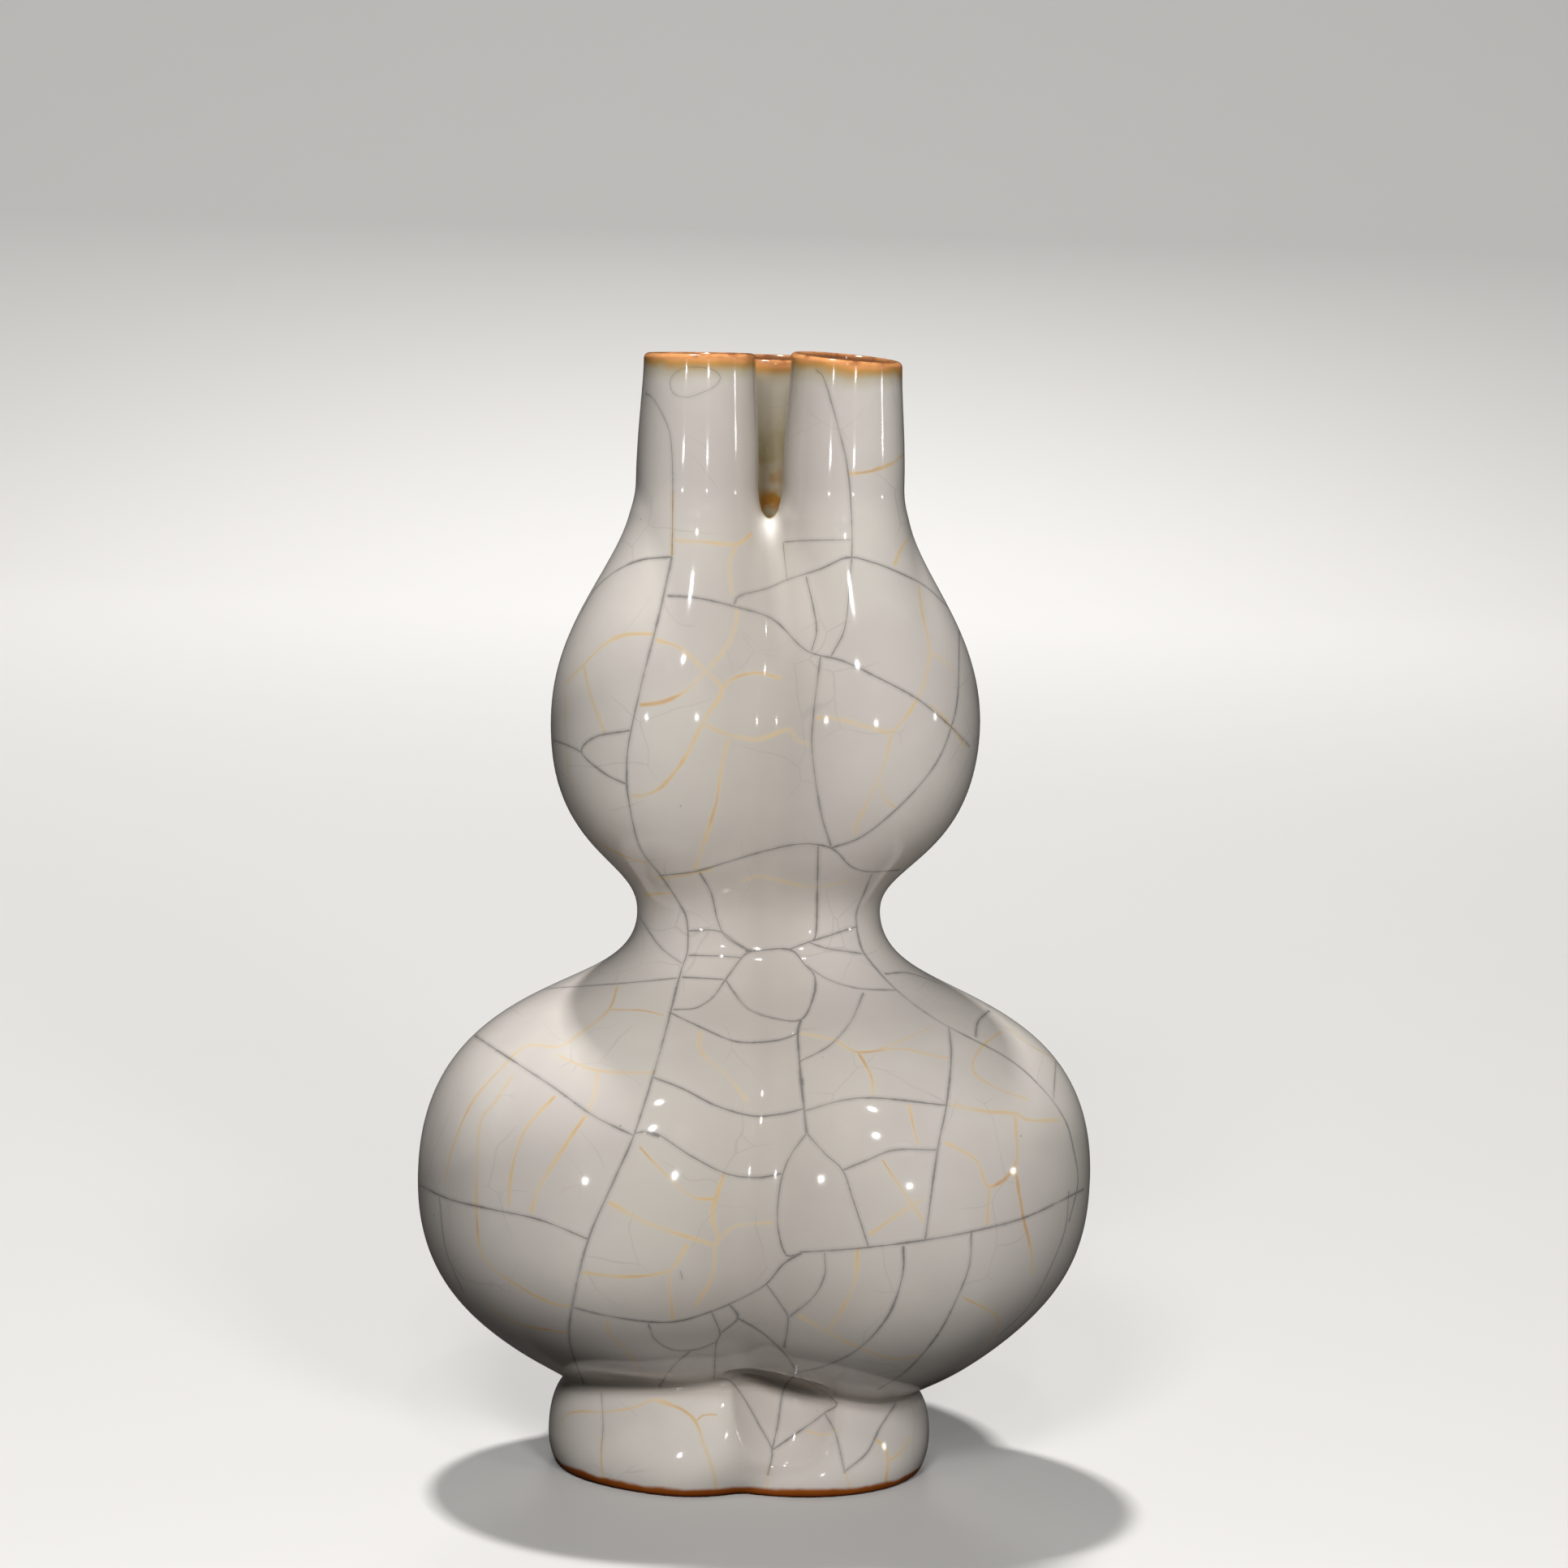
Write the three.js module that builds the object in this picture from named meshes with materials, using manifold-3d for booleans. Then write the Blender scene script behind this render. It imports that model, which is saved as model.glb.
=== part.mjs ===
// Vase of three joined gourds, in millimetres, +Z up.
// Three double gourds stand 120 degrees apart and grow into one body: a lobed foot, a lower bulb,
// a waist and an upper bulb. Above the shoulder they part into three necks with their own mouths.
// The vase is made of sections that are joined with slip at the foot, at the widest line of each
// bulb, at the waist and at the neck seats. Their joints are flat faces that meet.

import * as THREE from 'three';
import { mergeVertices } from 'three/addons/utils/BufferGeometryUtils.js';
import Module from 'manifold-3d';

// Heights of the sections, from the table up
const FOOT_EDGE_HEIGHT = 7.2;
const FOOT_SHOULDER_HEIGHT = 9.8;
const LOWER_BOWL_HEIGHT = 40;
const LOWER_DOME_HEIGHT = 48.1;
const UPPER_BOWL_HEIGHT = 35.9;
const SHOULDER_HEIGHT = 38;
const FRONT_NECK_HEIGHT = 29;
const BACK_NECK_HEIGHT = 27.4;

// Cross-sections at the named levels. Each is three round lobes about the vase's axis: spread is
// the distance from that axis to a lobe's centre, radius is the lobe's own, and groove is the
// radius of the hollow that joins two lobes.
const FOOT_EDGE = { spread: 12.5, radius: 23.3, groove: 1.5 };
const FOOT_BULGE = { spread: 13, radius: 24.6, groove: 4 };
const FOOT_TOP = { spread: 13.2, radius: 21.5, groove: 8 };
const LOWER_EQUATOR = { spread: 25, radius: 40.5, groove: 12.8 };
const WAIST = { spread: 8, radius: 15.6, groove: 20 };
const UPPER_EQUATOR = { spread: 18.9, radius: 23, groove: 11 };
const NECK_SEAT = { spread: 15.4, radius: 12.1, groove: 1.4 };

// Walls
const BODY_WALL = 4;
const FLOOR_THICKNESS = 5;
const FLOOR_CORNER = 2;
const FOOT_WALL = 4.6;
const SHOULDER_WEB = 6;

// Necks: they flare at the seat, narrow towards the mouth and end in a lip rounded over the wall
const NECK_BORE_RADIUS = 8.3;
const NECK_FLARE_HEIGHT = 6;
const NECK_WAIST_RADIUS = 11.2;
const MOUTH_RADIUS = 10.2;

// Slant of each mouth, as cut by hand: rise per millimetre towards the right and the back
const MOUTH_SLANT_LEFT = new THREE.Vector2(0.016, -0.035);
const MOUTH_SLANT_RIGHT = new THREE.Vector2(-0.066, 0.009);
const MOUTH_SLANT_BACK = new THREE.Vector2(0, 0);

// Fineness of the solids
const POINTS_PER_LOBE = 18;
const FOOT_STEPS = 3;
const BOWL_STEPS = 7;
const DOME_STEPS = 10;
const NECK_SIDES = 24;
const NECK_CURVE_STEPS = 4;
const CUT_OVERRUN = 1;

const LOBE_COUNT = 3;
const BACK_LOBE_ANGLE = Math.PI / 2;
const HALF_LOBE_TURN = Math.PI / LOBE_COUNT;

// Levels where one section meets the next
const footBulgeLevel = FOOT_EDGE_HEIGHT;
const footTopLevel = footBulgeLevel + FOOT_SHOULDER_HEIGHT;
const lowerEquatorLevel = footTopLevel + LOWER_BOWL_HEIGHT;
const waistLevel = lowerEquatorLevel + LOWER_DOME_HEIGHT;
const upperEquatorLevel = waistLevel + UPPER_BOWL_HEIGHT;
const neckSeatLevel = upperEquatorLevel + SHOULDER_HEIGHT;

// The outline between two levels is one Bezier curve. leave and arrive are its handle lengths,
// as parts of the height between the levels. leaveSwell and arriveSwell are how much of the change
// of section the handles already hold: 0 and 1 leave and arrive upright. grooveHold keeps the
// groove wide until late on the way.
const FOOT_EDGE_CURVE = { leave: 0.3, leaveSwell: 0.78, arrive: 0.37, arriveSwell: 1, grooveHold: 1 };
const FOOT_SHOULDER_CURVE = { leave: 0.39, leaveSwell: 0, arrive: 0.11, arriveSwell: 0.22, grooveHold: 1 };
const LOWER_BOWL_CURVE = { leave: 0.39, leaveSwell: 0.89, arrive: 0.33, arriveSwell: 1, grooveHold: 1 };
const LOWER_DOME_CURVE = { leave: 0.79, leaveSwell: 0, arrive: 0.39, arriveSwell: 1, grooveHold: 1 };
const UPPER_BOWL_CURVE = { leave: 0.27, leaveSwell: 0, arrive: 0.69, arriveSwell: 1, grooveHold: 1 };
const SHOULDER_CURVE = { leave: 0.46, leaveSwell: 0, arrive: 0.28, arriveSwell: 0.84, grooveHold: 4 };

const footEdge = { ...FOOT_EDGE, z: 0 };
const footBulge = { ...FOOT_BULGE, z: footBulgeLevel };
const footTop = { ...FOOT_TOP, z: footTopLevel };
const lowerEquator = { ...LOWER_EQUATOR, z: lowerEquatorLevel };
const waist = { ...WAIST, z: waistLevel };
const upperEquator = { ...UPPER_EQUATOR, z: upperEquatorLevel };
const neckSeat = { ...NECK_SEAT, z: neckSeatLevel };

/** Distance from the vase's axis to the wall of a section, in the direction angle. */
function wallDistance(section, angle) {
  const { spread, radius, groove } = section;
  const turn = THREE.MathUtils.euclideanModulo(angle - BACK_LOBE_ANGLE, 2 * HALF_LOBE_TURN);
  const fromLobe = Math.min(turn, 2 * HALF_LOBE_TURN - turn);
  const halfGap = spread * Math.sin(HALF_LOBE_TURN);
  const reach = Math.sqrt((radius + groove) ** 2 - halfGap ** 2);
  const grooveCentre = spread * Math.cos(HALF_LOBE_TURN) + reach;
  const lobeToGroove = new THREE.Vector2(
    grooveCentre * Math.cos(HALF_LOBE_TURN) - spread,
    grooveCentre * Math.sin(HALF_LOBE_TURN),
  );
  const tangentPoint = lobeToGroove.multiplyScalar(radius / (radius + groove));
  tangentPoint.x += spread;
  if (fromLobe <= tangentPoint.angle()) {
    const across = spread * Math.sin(fromLobe);
    return spread * Math.cos(fromLobe) + Math.sqrt(radius ** 2 - across ** 2);
  }
  const fromGroove = HALF_LOBE_TURN - fromLobe;
  const across = grooveCentre * Math.sin(fromGroove);
  return grooveCentre * Math.cos(fromGroove) - Math.sqrt(groove ** 2 - across ** 2);
}

/** The point of a section's wall in the direction angle. */
function wallPoint(section, angle) {
  const distance = wallDistance(section, angle);
  return [distance * Math.cos(angle), distance * Math.sin(angle), section.z];
}

/** The curve of height against progress, from one level to the next. */
function outlineCurve(from, to, curve) {
  const height = to.z - from.z;
  return new THREE.CubicBezierCurve(
    new THREE.Vector2(0, from.z),
    new THREE.Vector2(curve.leaveSwell, from.z + curve.leave * height),
    new THREE.Vector2(curve.arriveSwell, to.z - curve.arrive * height),
    new THREE.Vector2(1, to.z),
  );
}

/** The direction in which an outline curve runs, itself a curve of its handles. */
function directionCurve(outline) {
  return new THREE.QuadraticBezierCurve(
    outline.v1.clone().sub(outline.v0),
    outline.v2.clone().sub(outline.v1),
    outline.v3.clone().sub(outline.v2),
  );
}

/** Sections from one level to the next, each drawn in by wall square to the outline. */
function sectionsBetween(from, to, curve, steps, wall = 0) {
  const outline = outlineCurve(from, to, curve);
  const direction = directionCurve(outline);
  const sections = [];
  for (let step = 0; step <= steps; step += 1) {
    const { x: progress, y: z } = outline.getPoint(step / steps);
    const tangent = direction.getPoint(step / steps);
    const slope = new THREE.Vector2(tangent.x * (to.radius - from.radius), tangent.y).normalize();
    const grooveProgress = progress ** curve.grooveHold;
    sections.push({
      spread: THREE.MathUtils.lerp(from.spread, to.spread, progress),
      radius: THREE.MathUtils.lerp(from.radius, to.radius, progress) - wall * slope.y,
      groove: THREE.MathUtils.lerp(from.groove, to.groove, grooveProgress) + wall * slope.y,
      z: z + wall * slope.x,
    });
  }
  return sections;
}

/** A section drawn in by wall, at the same height. */
function drawnIn(section, wall) {
  return { ...section, radius: section.radius - wall, groove: section.groove + wall };
}

/** The section at another height. */
function atHeight(section, z) {
  return { ...section, z };
}

/** A closed skin over a row of sections. With isRing the last joins the first, else both are capped. */
function loftGeometry(sections, isRing) {
  const pointCount = POINTS_PER_LOBE * LOBE_COUNT;
  const positions = [];
  for (const section of sections) {
    for (let point = 0; point < pointCount; point += 1) {
      const angle = BACK_LOBE_ANGLE + (point / pointCount) * 2 * Math.PI;
      positions.push(...wallPoint(section, angle));
    }
  }
  const triangles = [];
  const bandCount = isRing ? sections.length : sections.length - 1;
  for (let band = 0; band < bandCount; band += 1) {
    const low = band * pointCount;
    const high = ((band + 1) % sections.length) * pointCount;
    for (let point = 0; point < pointCount; point += 1) {
      const next = (point + 1) % pointCount;
      triangles.push(low + point, low + next, high + next);
      triangles.push(low + point, high + next, high + point);
    }
  }
  if (!isRing) {
    const first = positions.length / 3;
    const last = first + 1;
    positions.push(0, 0, sections[0].z, 0, 0, sections.at(-1).z);
    const lastRing = (sections.length - 1) * pointCount;
    for (let point = 0; point < pointCount; point += 1) {
      const next = (point + 1) % pointCount;
      triangles.push(first, next, point);
      triangles.push(last, lastRing + point, lastRing + next);
    }
  }
  const geometry = new THREE.BufferGeometry();
  geometry.setAttribute('position', new THREE.Float32BufferAttribute(positions, 3));
  geometry.setIndex(triangles);
  return geometry;
}

const wasm = await Module();
wasm.setup();

/** A geometry as a solid that can be cut and joined. */
function toSolid(geometry) {
  const bare = geometry.clone();
  bare.deleteAttribute('normal');
  bare.deleteAttribute('uv');
  const merged = mergeVertices(bare);
  return new wasm.Manifold(
    new wasm.Mesh({
      numProp: 3,
      vertProperties: new Float32Array(merged.attributes.position.array),
      triVerts: new Uint32Array(merged.index.array),
    }),
  );
}

/** A solid as a geometry. */
function toGeometry(solid) {
  const mesh = solid.getMesh();
  const geometry = new THREE.BufferGeometry();
  geometry.setAttribute('position', new THREE.Float32BufferAttribute(mesh.vertProperties, 3));
  geometry.setIndex(new THREE.Uint32BufferAttribute(mesh.triVerts, 1));
  return geometry;
}

/** Centre of a neck, seen from above. */
function neckCentre(lobe) {
  const angle = BACK_LOBE_ANGLE + lobe * 2 * HALF_LOBE_TURN;
  return new THREE.Vector2(Math.cos(angle), Math.sin(angle)).multiplyScalar(NECK_SEAT.spread);
}

// Foot ring: three-lobed, bulging, flat where it stands and where the bowl sits on it
function footRingGeometry() {
  const outside = [
    ...sectionsBetween(footEdge, footBulge, FOOT_EDGE_CURVE, FOOT_STEPS),
    ...sectionsBetween(footBulge, footTop, FOOT_SHOULDER_CURVE, FOOT_STEPS).slice(1),
  ];
  const inside = [drawnIn(footTop, FOOT_WALL), drawnIn(footEdge, FOOT_WALL)];
  return loftGeometry([...outside, ...inside], true);
}

// Lower bowl: closed floor, open at the widest line of the lower bulb
function lowerBowlGeometry() {
  const outside = sectionsBetween(footTop, lowerEquator, LOWER_BOWL_CURVE, BOWL_STEPS);
  const floorLevel = footTop.z + FLOOR_THICKNESS;
  const wallSections = sectionsBetween(footTop, lowerEquator, LOWER_BOWL_CURVE, BOWL_STEPS, BODY_WALL)
    .filter((section) => section.z > floorLevel + FLOOR_CORNER);
  const floorSection = atHeight(drawnIn(wallSections[0], FLOOR_CORNER), floorLevel);
  const inside = [...wallSections.reverse(), floorSection];
  return loftGeometry([...outside, ...inside], false);
}

// Lower dome and upper bowl: open shells that meet at the waist
function shellGeometry(from, to, curve, steps) {
  const outside = sectionsBetween(from, to, curve, steps);
  const inside = sectionsBetween(from, to, curve, steps, BODY_WALL).reverse();
  return loftGeometry([...outside, ...inside], true);
}

// Shoulder: the lobes close over into a web, and a round bore rises through it under each neck
function shoulderGeometry() {
  const outside = sectionsBetween(upperEquator, neckSeat, SHOULDER_CURVE, DOME_STEPS);
  const webLevel = neckSeat.z - SHOULDER_WEB;
  const wallSections = sectionsBetween(upperEquator, neckSeat, SHOULDER_CURVE, DOME_STEPS, BODY_WALL)
    .filter((section) => section.z < webLevel);
  const mouthSection = atHeight(wallSections[0], upperEquator.z - CUT_OVERRUN);
  const ceilingSection = atHeight(wallSections.at(-1), webLevel);
  const cavity = loftGeometry([mouthSection, ...wallSections, ceilingSection], false);
  let solid = toSolid(loftGeometry(outside, false)).subtract(toSolid(cavity));
  const boreLength = SHOULDER_WEB + 2 * CUT_OVERRUN;
  for (let lobe = 0; lobe < LOBE_COUNT; lobe += 1) {
    const bore = new THREE.CylinderGeometry(NECK_BORE_RADIUS, NECK_BORE_RADIUS, boreLength, NECK_SIDES);
    bore.rotateX(Math.PI / 2);
    const centre = neckCentre(lobe);
    bore.translate(centre.x, centre.y, webLevel + SHOULDER_WEB / 2);
    solid = solid.subtract(toSolid(bore));
  }
  return toGeometry(solid);
}

// Neck: a tube that flares at its seat, with a rounded lip round a slightly slanted mouth
function neckGeometry(height, slant) {
  const lipRadius = (MOUTH_RADIUS - NECK_BORE_RADIUS) / 2;
  const lipLevel = height - lipRadius;
  const profile = new THREE.Path();
  profile.moveTo(NECK_BORE_RADIUS, 0);
  profile.lineTo(NECK_SEAT.radius, 0);
  profile.quadraticCurveTo(NECK_WAIST_RADIUS, NECK_FLARE_HEIGHT / 2, NECK_WAIST_RADIUS, NECK_FLARE_HEIGHT);
  profile.lineTo(MOUTH_RADIUS, lipLevel);
  profile.absarc(MOUTH_RADIUS - lipRadius, lipLevel, lipRadius, 0, Math.PI, false);
  profile.lineTo(NECK_BORE_RADIUS, 0);
  const tube = new THREE.LatheGeometry(profile.getPoints(NECK_CURVE_STEPS), NECK_SIDES);
  tube.rotateX(Math.PI / 2);
  const position = tube.attributes.position;
  for (let index = 0; index < position.count; index += 1) {
    const rise = position.getX(index) * slant.x + position.getY(index) * slant.y;
    const share = position.getZ(index) / height;
    position.setZ(index, position.getZ(index) + rise * share);
  }
  return toGeometry(toSolid(tube));
}

const glaze = { color: 0xcdc6bc, roughness: 0.12, metalness: 0 };

const vase = new THREE.Group();
vase.position.y = -LOWER_EQUATOR.spread * (1 - Math.cos(HALF_LOBE_TURN)) / 2;

/** Adds one named section to the vase. */
function addSection(name, geometry) {
  geometry.computeVertexNormals();
  const mesh = new THREE.Mesh(geometry, new THREE.MeshStandardMaterial(glaze));
  mesh.name = name;
  vase.add(mesh);
  return mesh;
}

addSection('foot_ring', footRingGeometry());
addSection('lower_bowl', lowerBowlGeometry());
addSection('lower_dome', shellGeometry(lowerEquator, waist, LOWER_DOME_CURVE, DOME_STEPS));
addSection('upper_bowl', shellGeometry(waist, upperEquator, UPPER_BOWL_CURVE, BOWL_STEPS));
addSection('shoulder', shoulderGeometry());

const necks = [
  { name: 'neck_back', height: BACK_NECK_HEIGHT, slant: MOUTH_SLANT_BACK },
  { name: 'neck_left', height: FRONT_NECK_HEIGHT, slant: MOUTH_SLANT_LEFT },
  { name: 'neck_right', height: FRONT_NECK_HEIGHT, slant: MOUTH_SLANT_RIGHT },
];
necks.forEach(({ name, height, slant }, lobe) => {
  const neck = addSection(name, neckGeometry(height, slant));
  const centre = neckCentre(lobe);
  neck.position.set(centre.x, centre.y, neckSeat.z);
});

const group = new THREE.Group();
group.add(vase);

export default group;
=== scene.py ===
"""Vase of three joined gourds under a thick, pale, crackled glaze.

Three double gourds stand 120 degrees apart and melt into one body, and part again above the
shoulder into three necks. Every surface is a level set of one formula, the smooth minimum of the
distances to the three lobes, so the sections meet without a seam. The crackle is drawn on that
skin as curves with a true width: traced where the photograph shows them, and grown by a seeded
rule where it does not. Lengths are in millimetres until a mesh is written, in metres.
"""

import logging
import math
from collections.abc import Callable
from dataclasses import dataclass, field
from enum import Enum
from functools import reduce

import bpy
import numpy as np
from mathutils import Matrix, Vector
from mathutils.bvhtree import BVHTree
from mathutils.kdtree import KDTree


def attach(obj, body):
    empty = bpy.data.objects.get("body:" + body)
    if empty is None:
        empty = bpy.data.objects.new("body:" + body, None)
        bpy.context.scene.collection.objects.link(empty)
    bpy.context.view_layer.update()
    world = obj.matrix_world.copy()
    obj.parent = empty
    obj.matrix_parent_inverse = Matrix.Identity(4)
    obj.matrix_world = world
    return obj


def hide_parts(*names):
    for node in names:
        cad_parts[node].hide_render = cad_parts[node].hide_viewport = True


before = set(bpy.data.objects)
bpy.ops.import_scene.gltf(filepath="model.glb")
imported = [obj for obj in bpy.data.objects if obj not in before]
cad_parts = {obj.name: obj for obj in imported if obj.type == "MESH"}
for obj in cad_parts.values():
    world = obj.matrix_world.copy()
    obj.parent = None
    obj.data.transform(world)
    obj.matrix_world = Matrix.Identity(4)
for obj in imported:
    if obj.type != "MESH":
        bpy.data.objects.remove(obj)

Array = np.ndarray
Tree = bpy.types.NodeTree
Socket = bpy.types.NodeSocket
LOG = logging.getLogger("vase")
METRES_PER_MM = 0.001
BODY = "root"
HALVINGS = 40
LOBE_COUNT = 3
LOBE_TURN = 2 * math.pi / LOBE_COUNT
HALF_TURN = LOBE_TURN / 2
BACK_LOBE_ANGLE = math.pi / 2
AXIS_Y = -6.25


@dataclass(frozen=True)
class Level:
    """A named height of the vase with its section of three round lobes, all in mm.

    spread is the distance from the vase's axis to a lobe's centre, and radius is the lobe's own.
    """

    height: float
    spread: float
    radius: float


@dataclass(frozen=True)
class Bend:
    """Bezier handles between two levels, as parts of the height and of the change of section."""

    leave: float
    leave_swell: float
    arrive: float
    arrive_swell: float


# The levels of the vase, upwards
SOLE = Level(0.0, 12.5, 23.3)
FOOT_BULGE = Level(7.2, 13.0, 24.6)
FOOT_TOP = Level(17.0, 13.2, 21.5)
LOWER_EQUATOR = Level(57.0, 25.0, 40.5)
WAIST = Level(105.1, 8.0, 15.6)
UPPER_EQUATOR = Level(141.0, 18.9, 23.0)
NECK_SEAT = Level(179.0, 15.4, 12.1)
NECK_WAIST = Level(184.5, 15.4, 11.18)
MOUTH = Level(207.05, 15.4, 10.2)

LEVELS = (SOLE, FOOT_BULGE, FOOT_TOP, LOWER_EQUATOR, WAIST, UPPER_EQUATOR, NECK_SEAT, NECK_WAIST, MOUTH)

# The outline between each two levels, upwards
BENDS = (
    Bend(0.30, 0.78, 0.37, 1.0),
    Bend(0.39, 0.0, 0.11, 0.22),
    Bend(0.39, 0.89, 0.33, 1.0),
    Bend(0.79, 0.0, 0.39, 1.0),
    Bend(0.27, 0.0, 0.69, 1.0),
    Bend(0.46, 0.0, 0.28, 0.84),
    Bend(0.33, 0.67, 0.33, 1.0),
    Bend(0.40, -0.05, 0.25, 1.0),
)
TOP_HEIGHT = 212.0

# How far the axis wanders to the right, and how far the lobes turn, as height and amount
AXIS_DRIFT_MM = ((0, -1.5), (9, -1.55), (20, -1.4), (29, -1.5), (42, -0.5), (57, 0.0), (84, 0.7),
                 (93, 0.5), (104, -0.25), (112, -0.95), (122, -0.3), (140, 0.1), (160, 0.0),
                 (172, -0.25), (212, -0.35))
LOBE_TWIST_DEG = ((0, 1.0), (17, 2.0), (28, 2.5), (45, 2.2), (57, 1.2), (66, 1.2), (90, 1.5), (110, 0.5),
                  (125, 0.0), (212, 0.0))

# How far the front groove alone strays to the right as the foot was pressed on
FRONT_STRAY_DEG = ((0, 1.0), (2, 2.5), (7, 11.0), (12, 13.0), (17, 13.0), (19, 9.0), (23, 3.0),
                   (30, 0.0), (212, 0.0))
FRONT_STRAY_REACH_DEG = 34.0

# The width over which two lobes flow into each other
LOBE_MELT_MM = ((0, 1.6), (3, 4.5), (7.5, 6.0), (16.5, 6.0), (18, 4.0), (24, 3.6), (40, 4.4), (57, 5.7),
                (98, 4.5), (108, 4.0), (141, 7.7), (165, 6.5), (176, 5.4), (178.6, 4.5), (180.8, 2.2),
                (186, 1.6), (212, 1.6))

# How much higher than planned the foot's top edge came out, by degrees from the front to the right
FOOT_LIFT_MM = ((-180, 0.0), (-110, -0.8), (-80, -1.3), (-62, 0.6), (-46, 2.3), (-28, 3.1),
                (-17, 4.6), (-9, 4.3), (8, 2.3), (23, 1.2), (43, -1.0), (57, -1.5), (80, -2.2),
                (130, -1.0), (180, 0.0))

# The share of that lift at each height
LIFT_SHARE = ((0, 0.0), (3, 0.05), (8, 0.3), (13, 0.8), (17, 1.0), (24, 0.8), (48, 0.0), (212, 0.0))


def degrees_from_front(points: Array) -> Array:
    """The angle of each point about the axis, from the front to the right."""
    return np.degrees(np.arctan2(points[..., 0], -points[..., 1]))


@dataclass(frozen=True)
class Hollow:
    """A shallow hollow in the skin, a bell over the angle and over the height. Lengths are in mm."""

    depth: float
    turn_deg: float
    height: float
    reach_deg: float
    reach_up: float
    reach_down: float

    def at(self, points: Array) -> Array:
        """How deep the hollow is at straight points.

        Args:
            points: straight points, in mm.

        Returns:
            The depth at each point, in mm.
        """
        from_front = degrees_from_front(points)
        rise = points[..., 2] - self.height
        reach = np.where(rise > 0.0, self.reach_up, self.reach_down)
        away = ((from_front - self.turn_deg) / self.reach_deg) ** 2 + (rise / reach) ** 2
        return self.depth * np.exp(-0.5 * away)


# The foot's front leaning back on the left and on the right, and the clay that the thumb pushed aside
HOLLOWS = (
    Hollow(3.8, -32.5, 17.0, 20.0, 2.6, 9.0),
    Hollow(1.8, 44.0, 17.0, 18.0, 2.6, 8.0),
    Hollow(-1.7, -17.3, 9.3, 12.0, 9.0, 20.0),
)


@dataclass(frozen=True)
class Thumbprint:
    """An egg-shaped dent pressed into the soft clay, with a rounded edge. Lengths are in mm.

    Below its middle the egg leans out by slope, so the dent runs out to a point.
    """

    turn_deg: float
    distance: float
    slope: float
    height: float
    half_width: float
    half_depth: float
    reach_up: float
    reach_down: float
    edge: float
    # Width, in shares of the egg, of the dent's painted shade, partly where glaze pools
    pool_shade_band: float

    def share(self, points: Array) -> Array:
        """Where points lie in the egg: 0 in its middle, 1 on its shell, more outside.

        Args:
            points: straight points, in mm.

        Returns:
            The share at each point.
        """
        turn = math.radians(self.turn_deg)
        across = points[..., 0] * math.cos(turn) + points[..., 1] * math.sin(turn)
        out = points[..., 0] * math.sin(turn) - points[..., 1] * math.cos(turn)
        rise = points[..., 2] - self.height
        reach = np.where(rise > 0.0, self.reach_up, self.reach_down)
        inward = out - self.distance + self.slope * np.minimum(rise, 0.0)
        return np.sqrt((across / self.half_width) ** 2 + (inward / self.half_depth) ** 2
                       + (rise / reach) ** 2)

    def press(self, gap: Array, points: Array) -> Array:
        """The gap with the dent in it: the smooth maximum of the gap and of the way into the egg."""
        inside = self.half_depth * (1.0 - self.share(points))
        return -smooth_min(-gap, -inside, np.asarray(self.edge))

    def filled(self, points: Array) -> Array:
        """How much painted shade the dent gets at points, partly where glaze pools in it: a bell over the way
        from the egg's shell.
        """
        return np.exp(-((self.share(points) - 1.0) / self.pool_shade_band) ** 2)


# The thumb's mark where the front groove runs onto the foot
THUMBPRINT = Thumbprint(turn_deg=3.0, distance=36.0, slope=0.45, height=17.0, half_width=13.0,
                        half_depth=13.5, reach_up=5.0, reach_down=20.0, edge=0.7, pool_shade_band=0.16)

# Walls, bores and lips, in mm
BODY_WALL = 4.0
BORE_RADIUS = 8.3
LIP_RADIUS = 0.95
NECK_START = 182.5

# Columns of the grids over a lobe and between the necks, and how far a ray has to point inwards
# before its rows crowd
GROOVE_COLUMNS = 120
INWARD_COLUMNS = 35
CROWDING = (0.3, 0.8)

# Where the glaze has other colours, painted shade and a painted highlight, in mm: the mouths, the well
# between the necks with painted shade, the saddles with a painted highlight
FAR_FROM_MOUTH = 99.0
WELL_REACH = 9.5
WELL_LEAST_SHARE = 0.2
WELL_EDGE = 2.0
WELL_TINT_TOP = 212.0
WELL_FLOOR = 176.0
SADDLE_REACH = 10.0
SADDLE_HEIGHT = 176.5
SADDLE_SPREAD = 2.4


def smooth_min(first: Array, second: Array, width: Array) -> Array:
    """The lesser value, less (width - difference)**2 / (4 * width) where they differ by less than width."""
    overlap = np.maximum(width - np.abs(first - second), 0.0)
    return np.minimum(first, second) - overlap**2 / (4.0 * width)


def turned(points: Array, angle: float | Array) -> Array:
    """Points turned about the vase's axis.

    Args:
        points: points in mm.
        angle: the turn in radians, one for all or one for each point.

    Returns:
        The turned points.
    """
    cosine, sine = np.cos(angle), np.sin(angle)
    return np.stack([points[..., 0] * cosine - points[..., 1] * sine,
                     points[..., 0] * sine + points[..., 1] * cosine, points[..., 2]], axis=-1)


def put(name: str, data: bpy.types.ID) -> bpy.types.Object:
    """Puts a mesh, a lamp or a camera in the scene, as an object of that name.

    Args:
        name: the object's name.
        data: what it shows.

    Returns:
        The object.
    """
    made = bpy.data.objects.new(name, data)
    bpy.context.scene.collection.objects.link(made)
    return made


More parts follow.
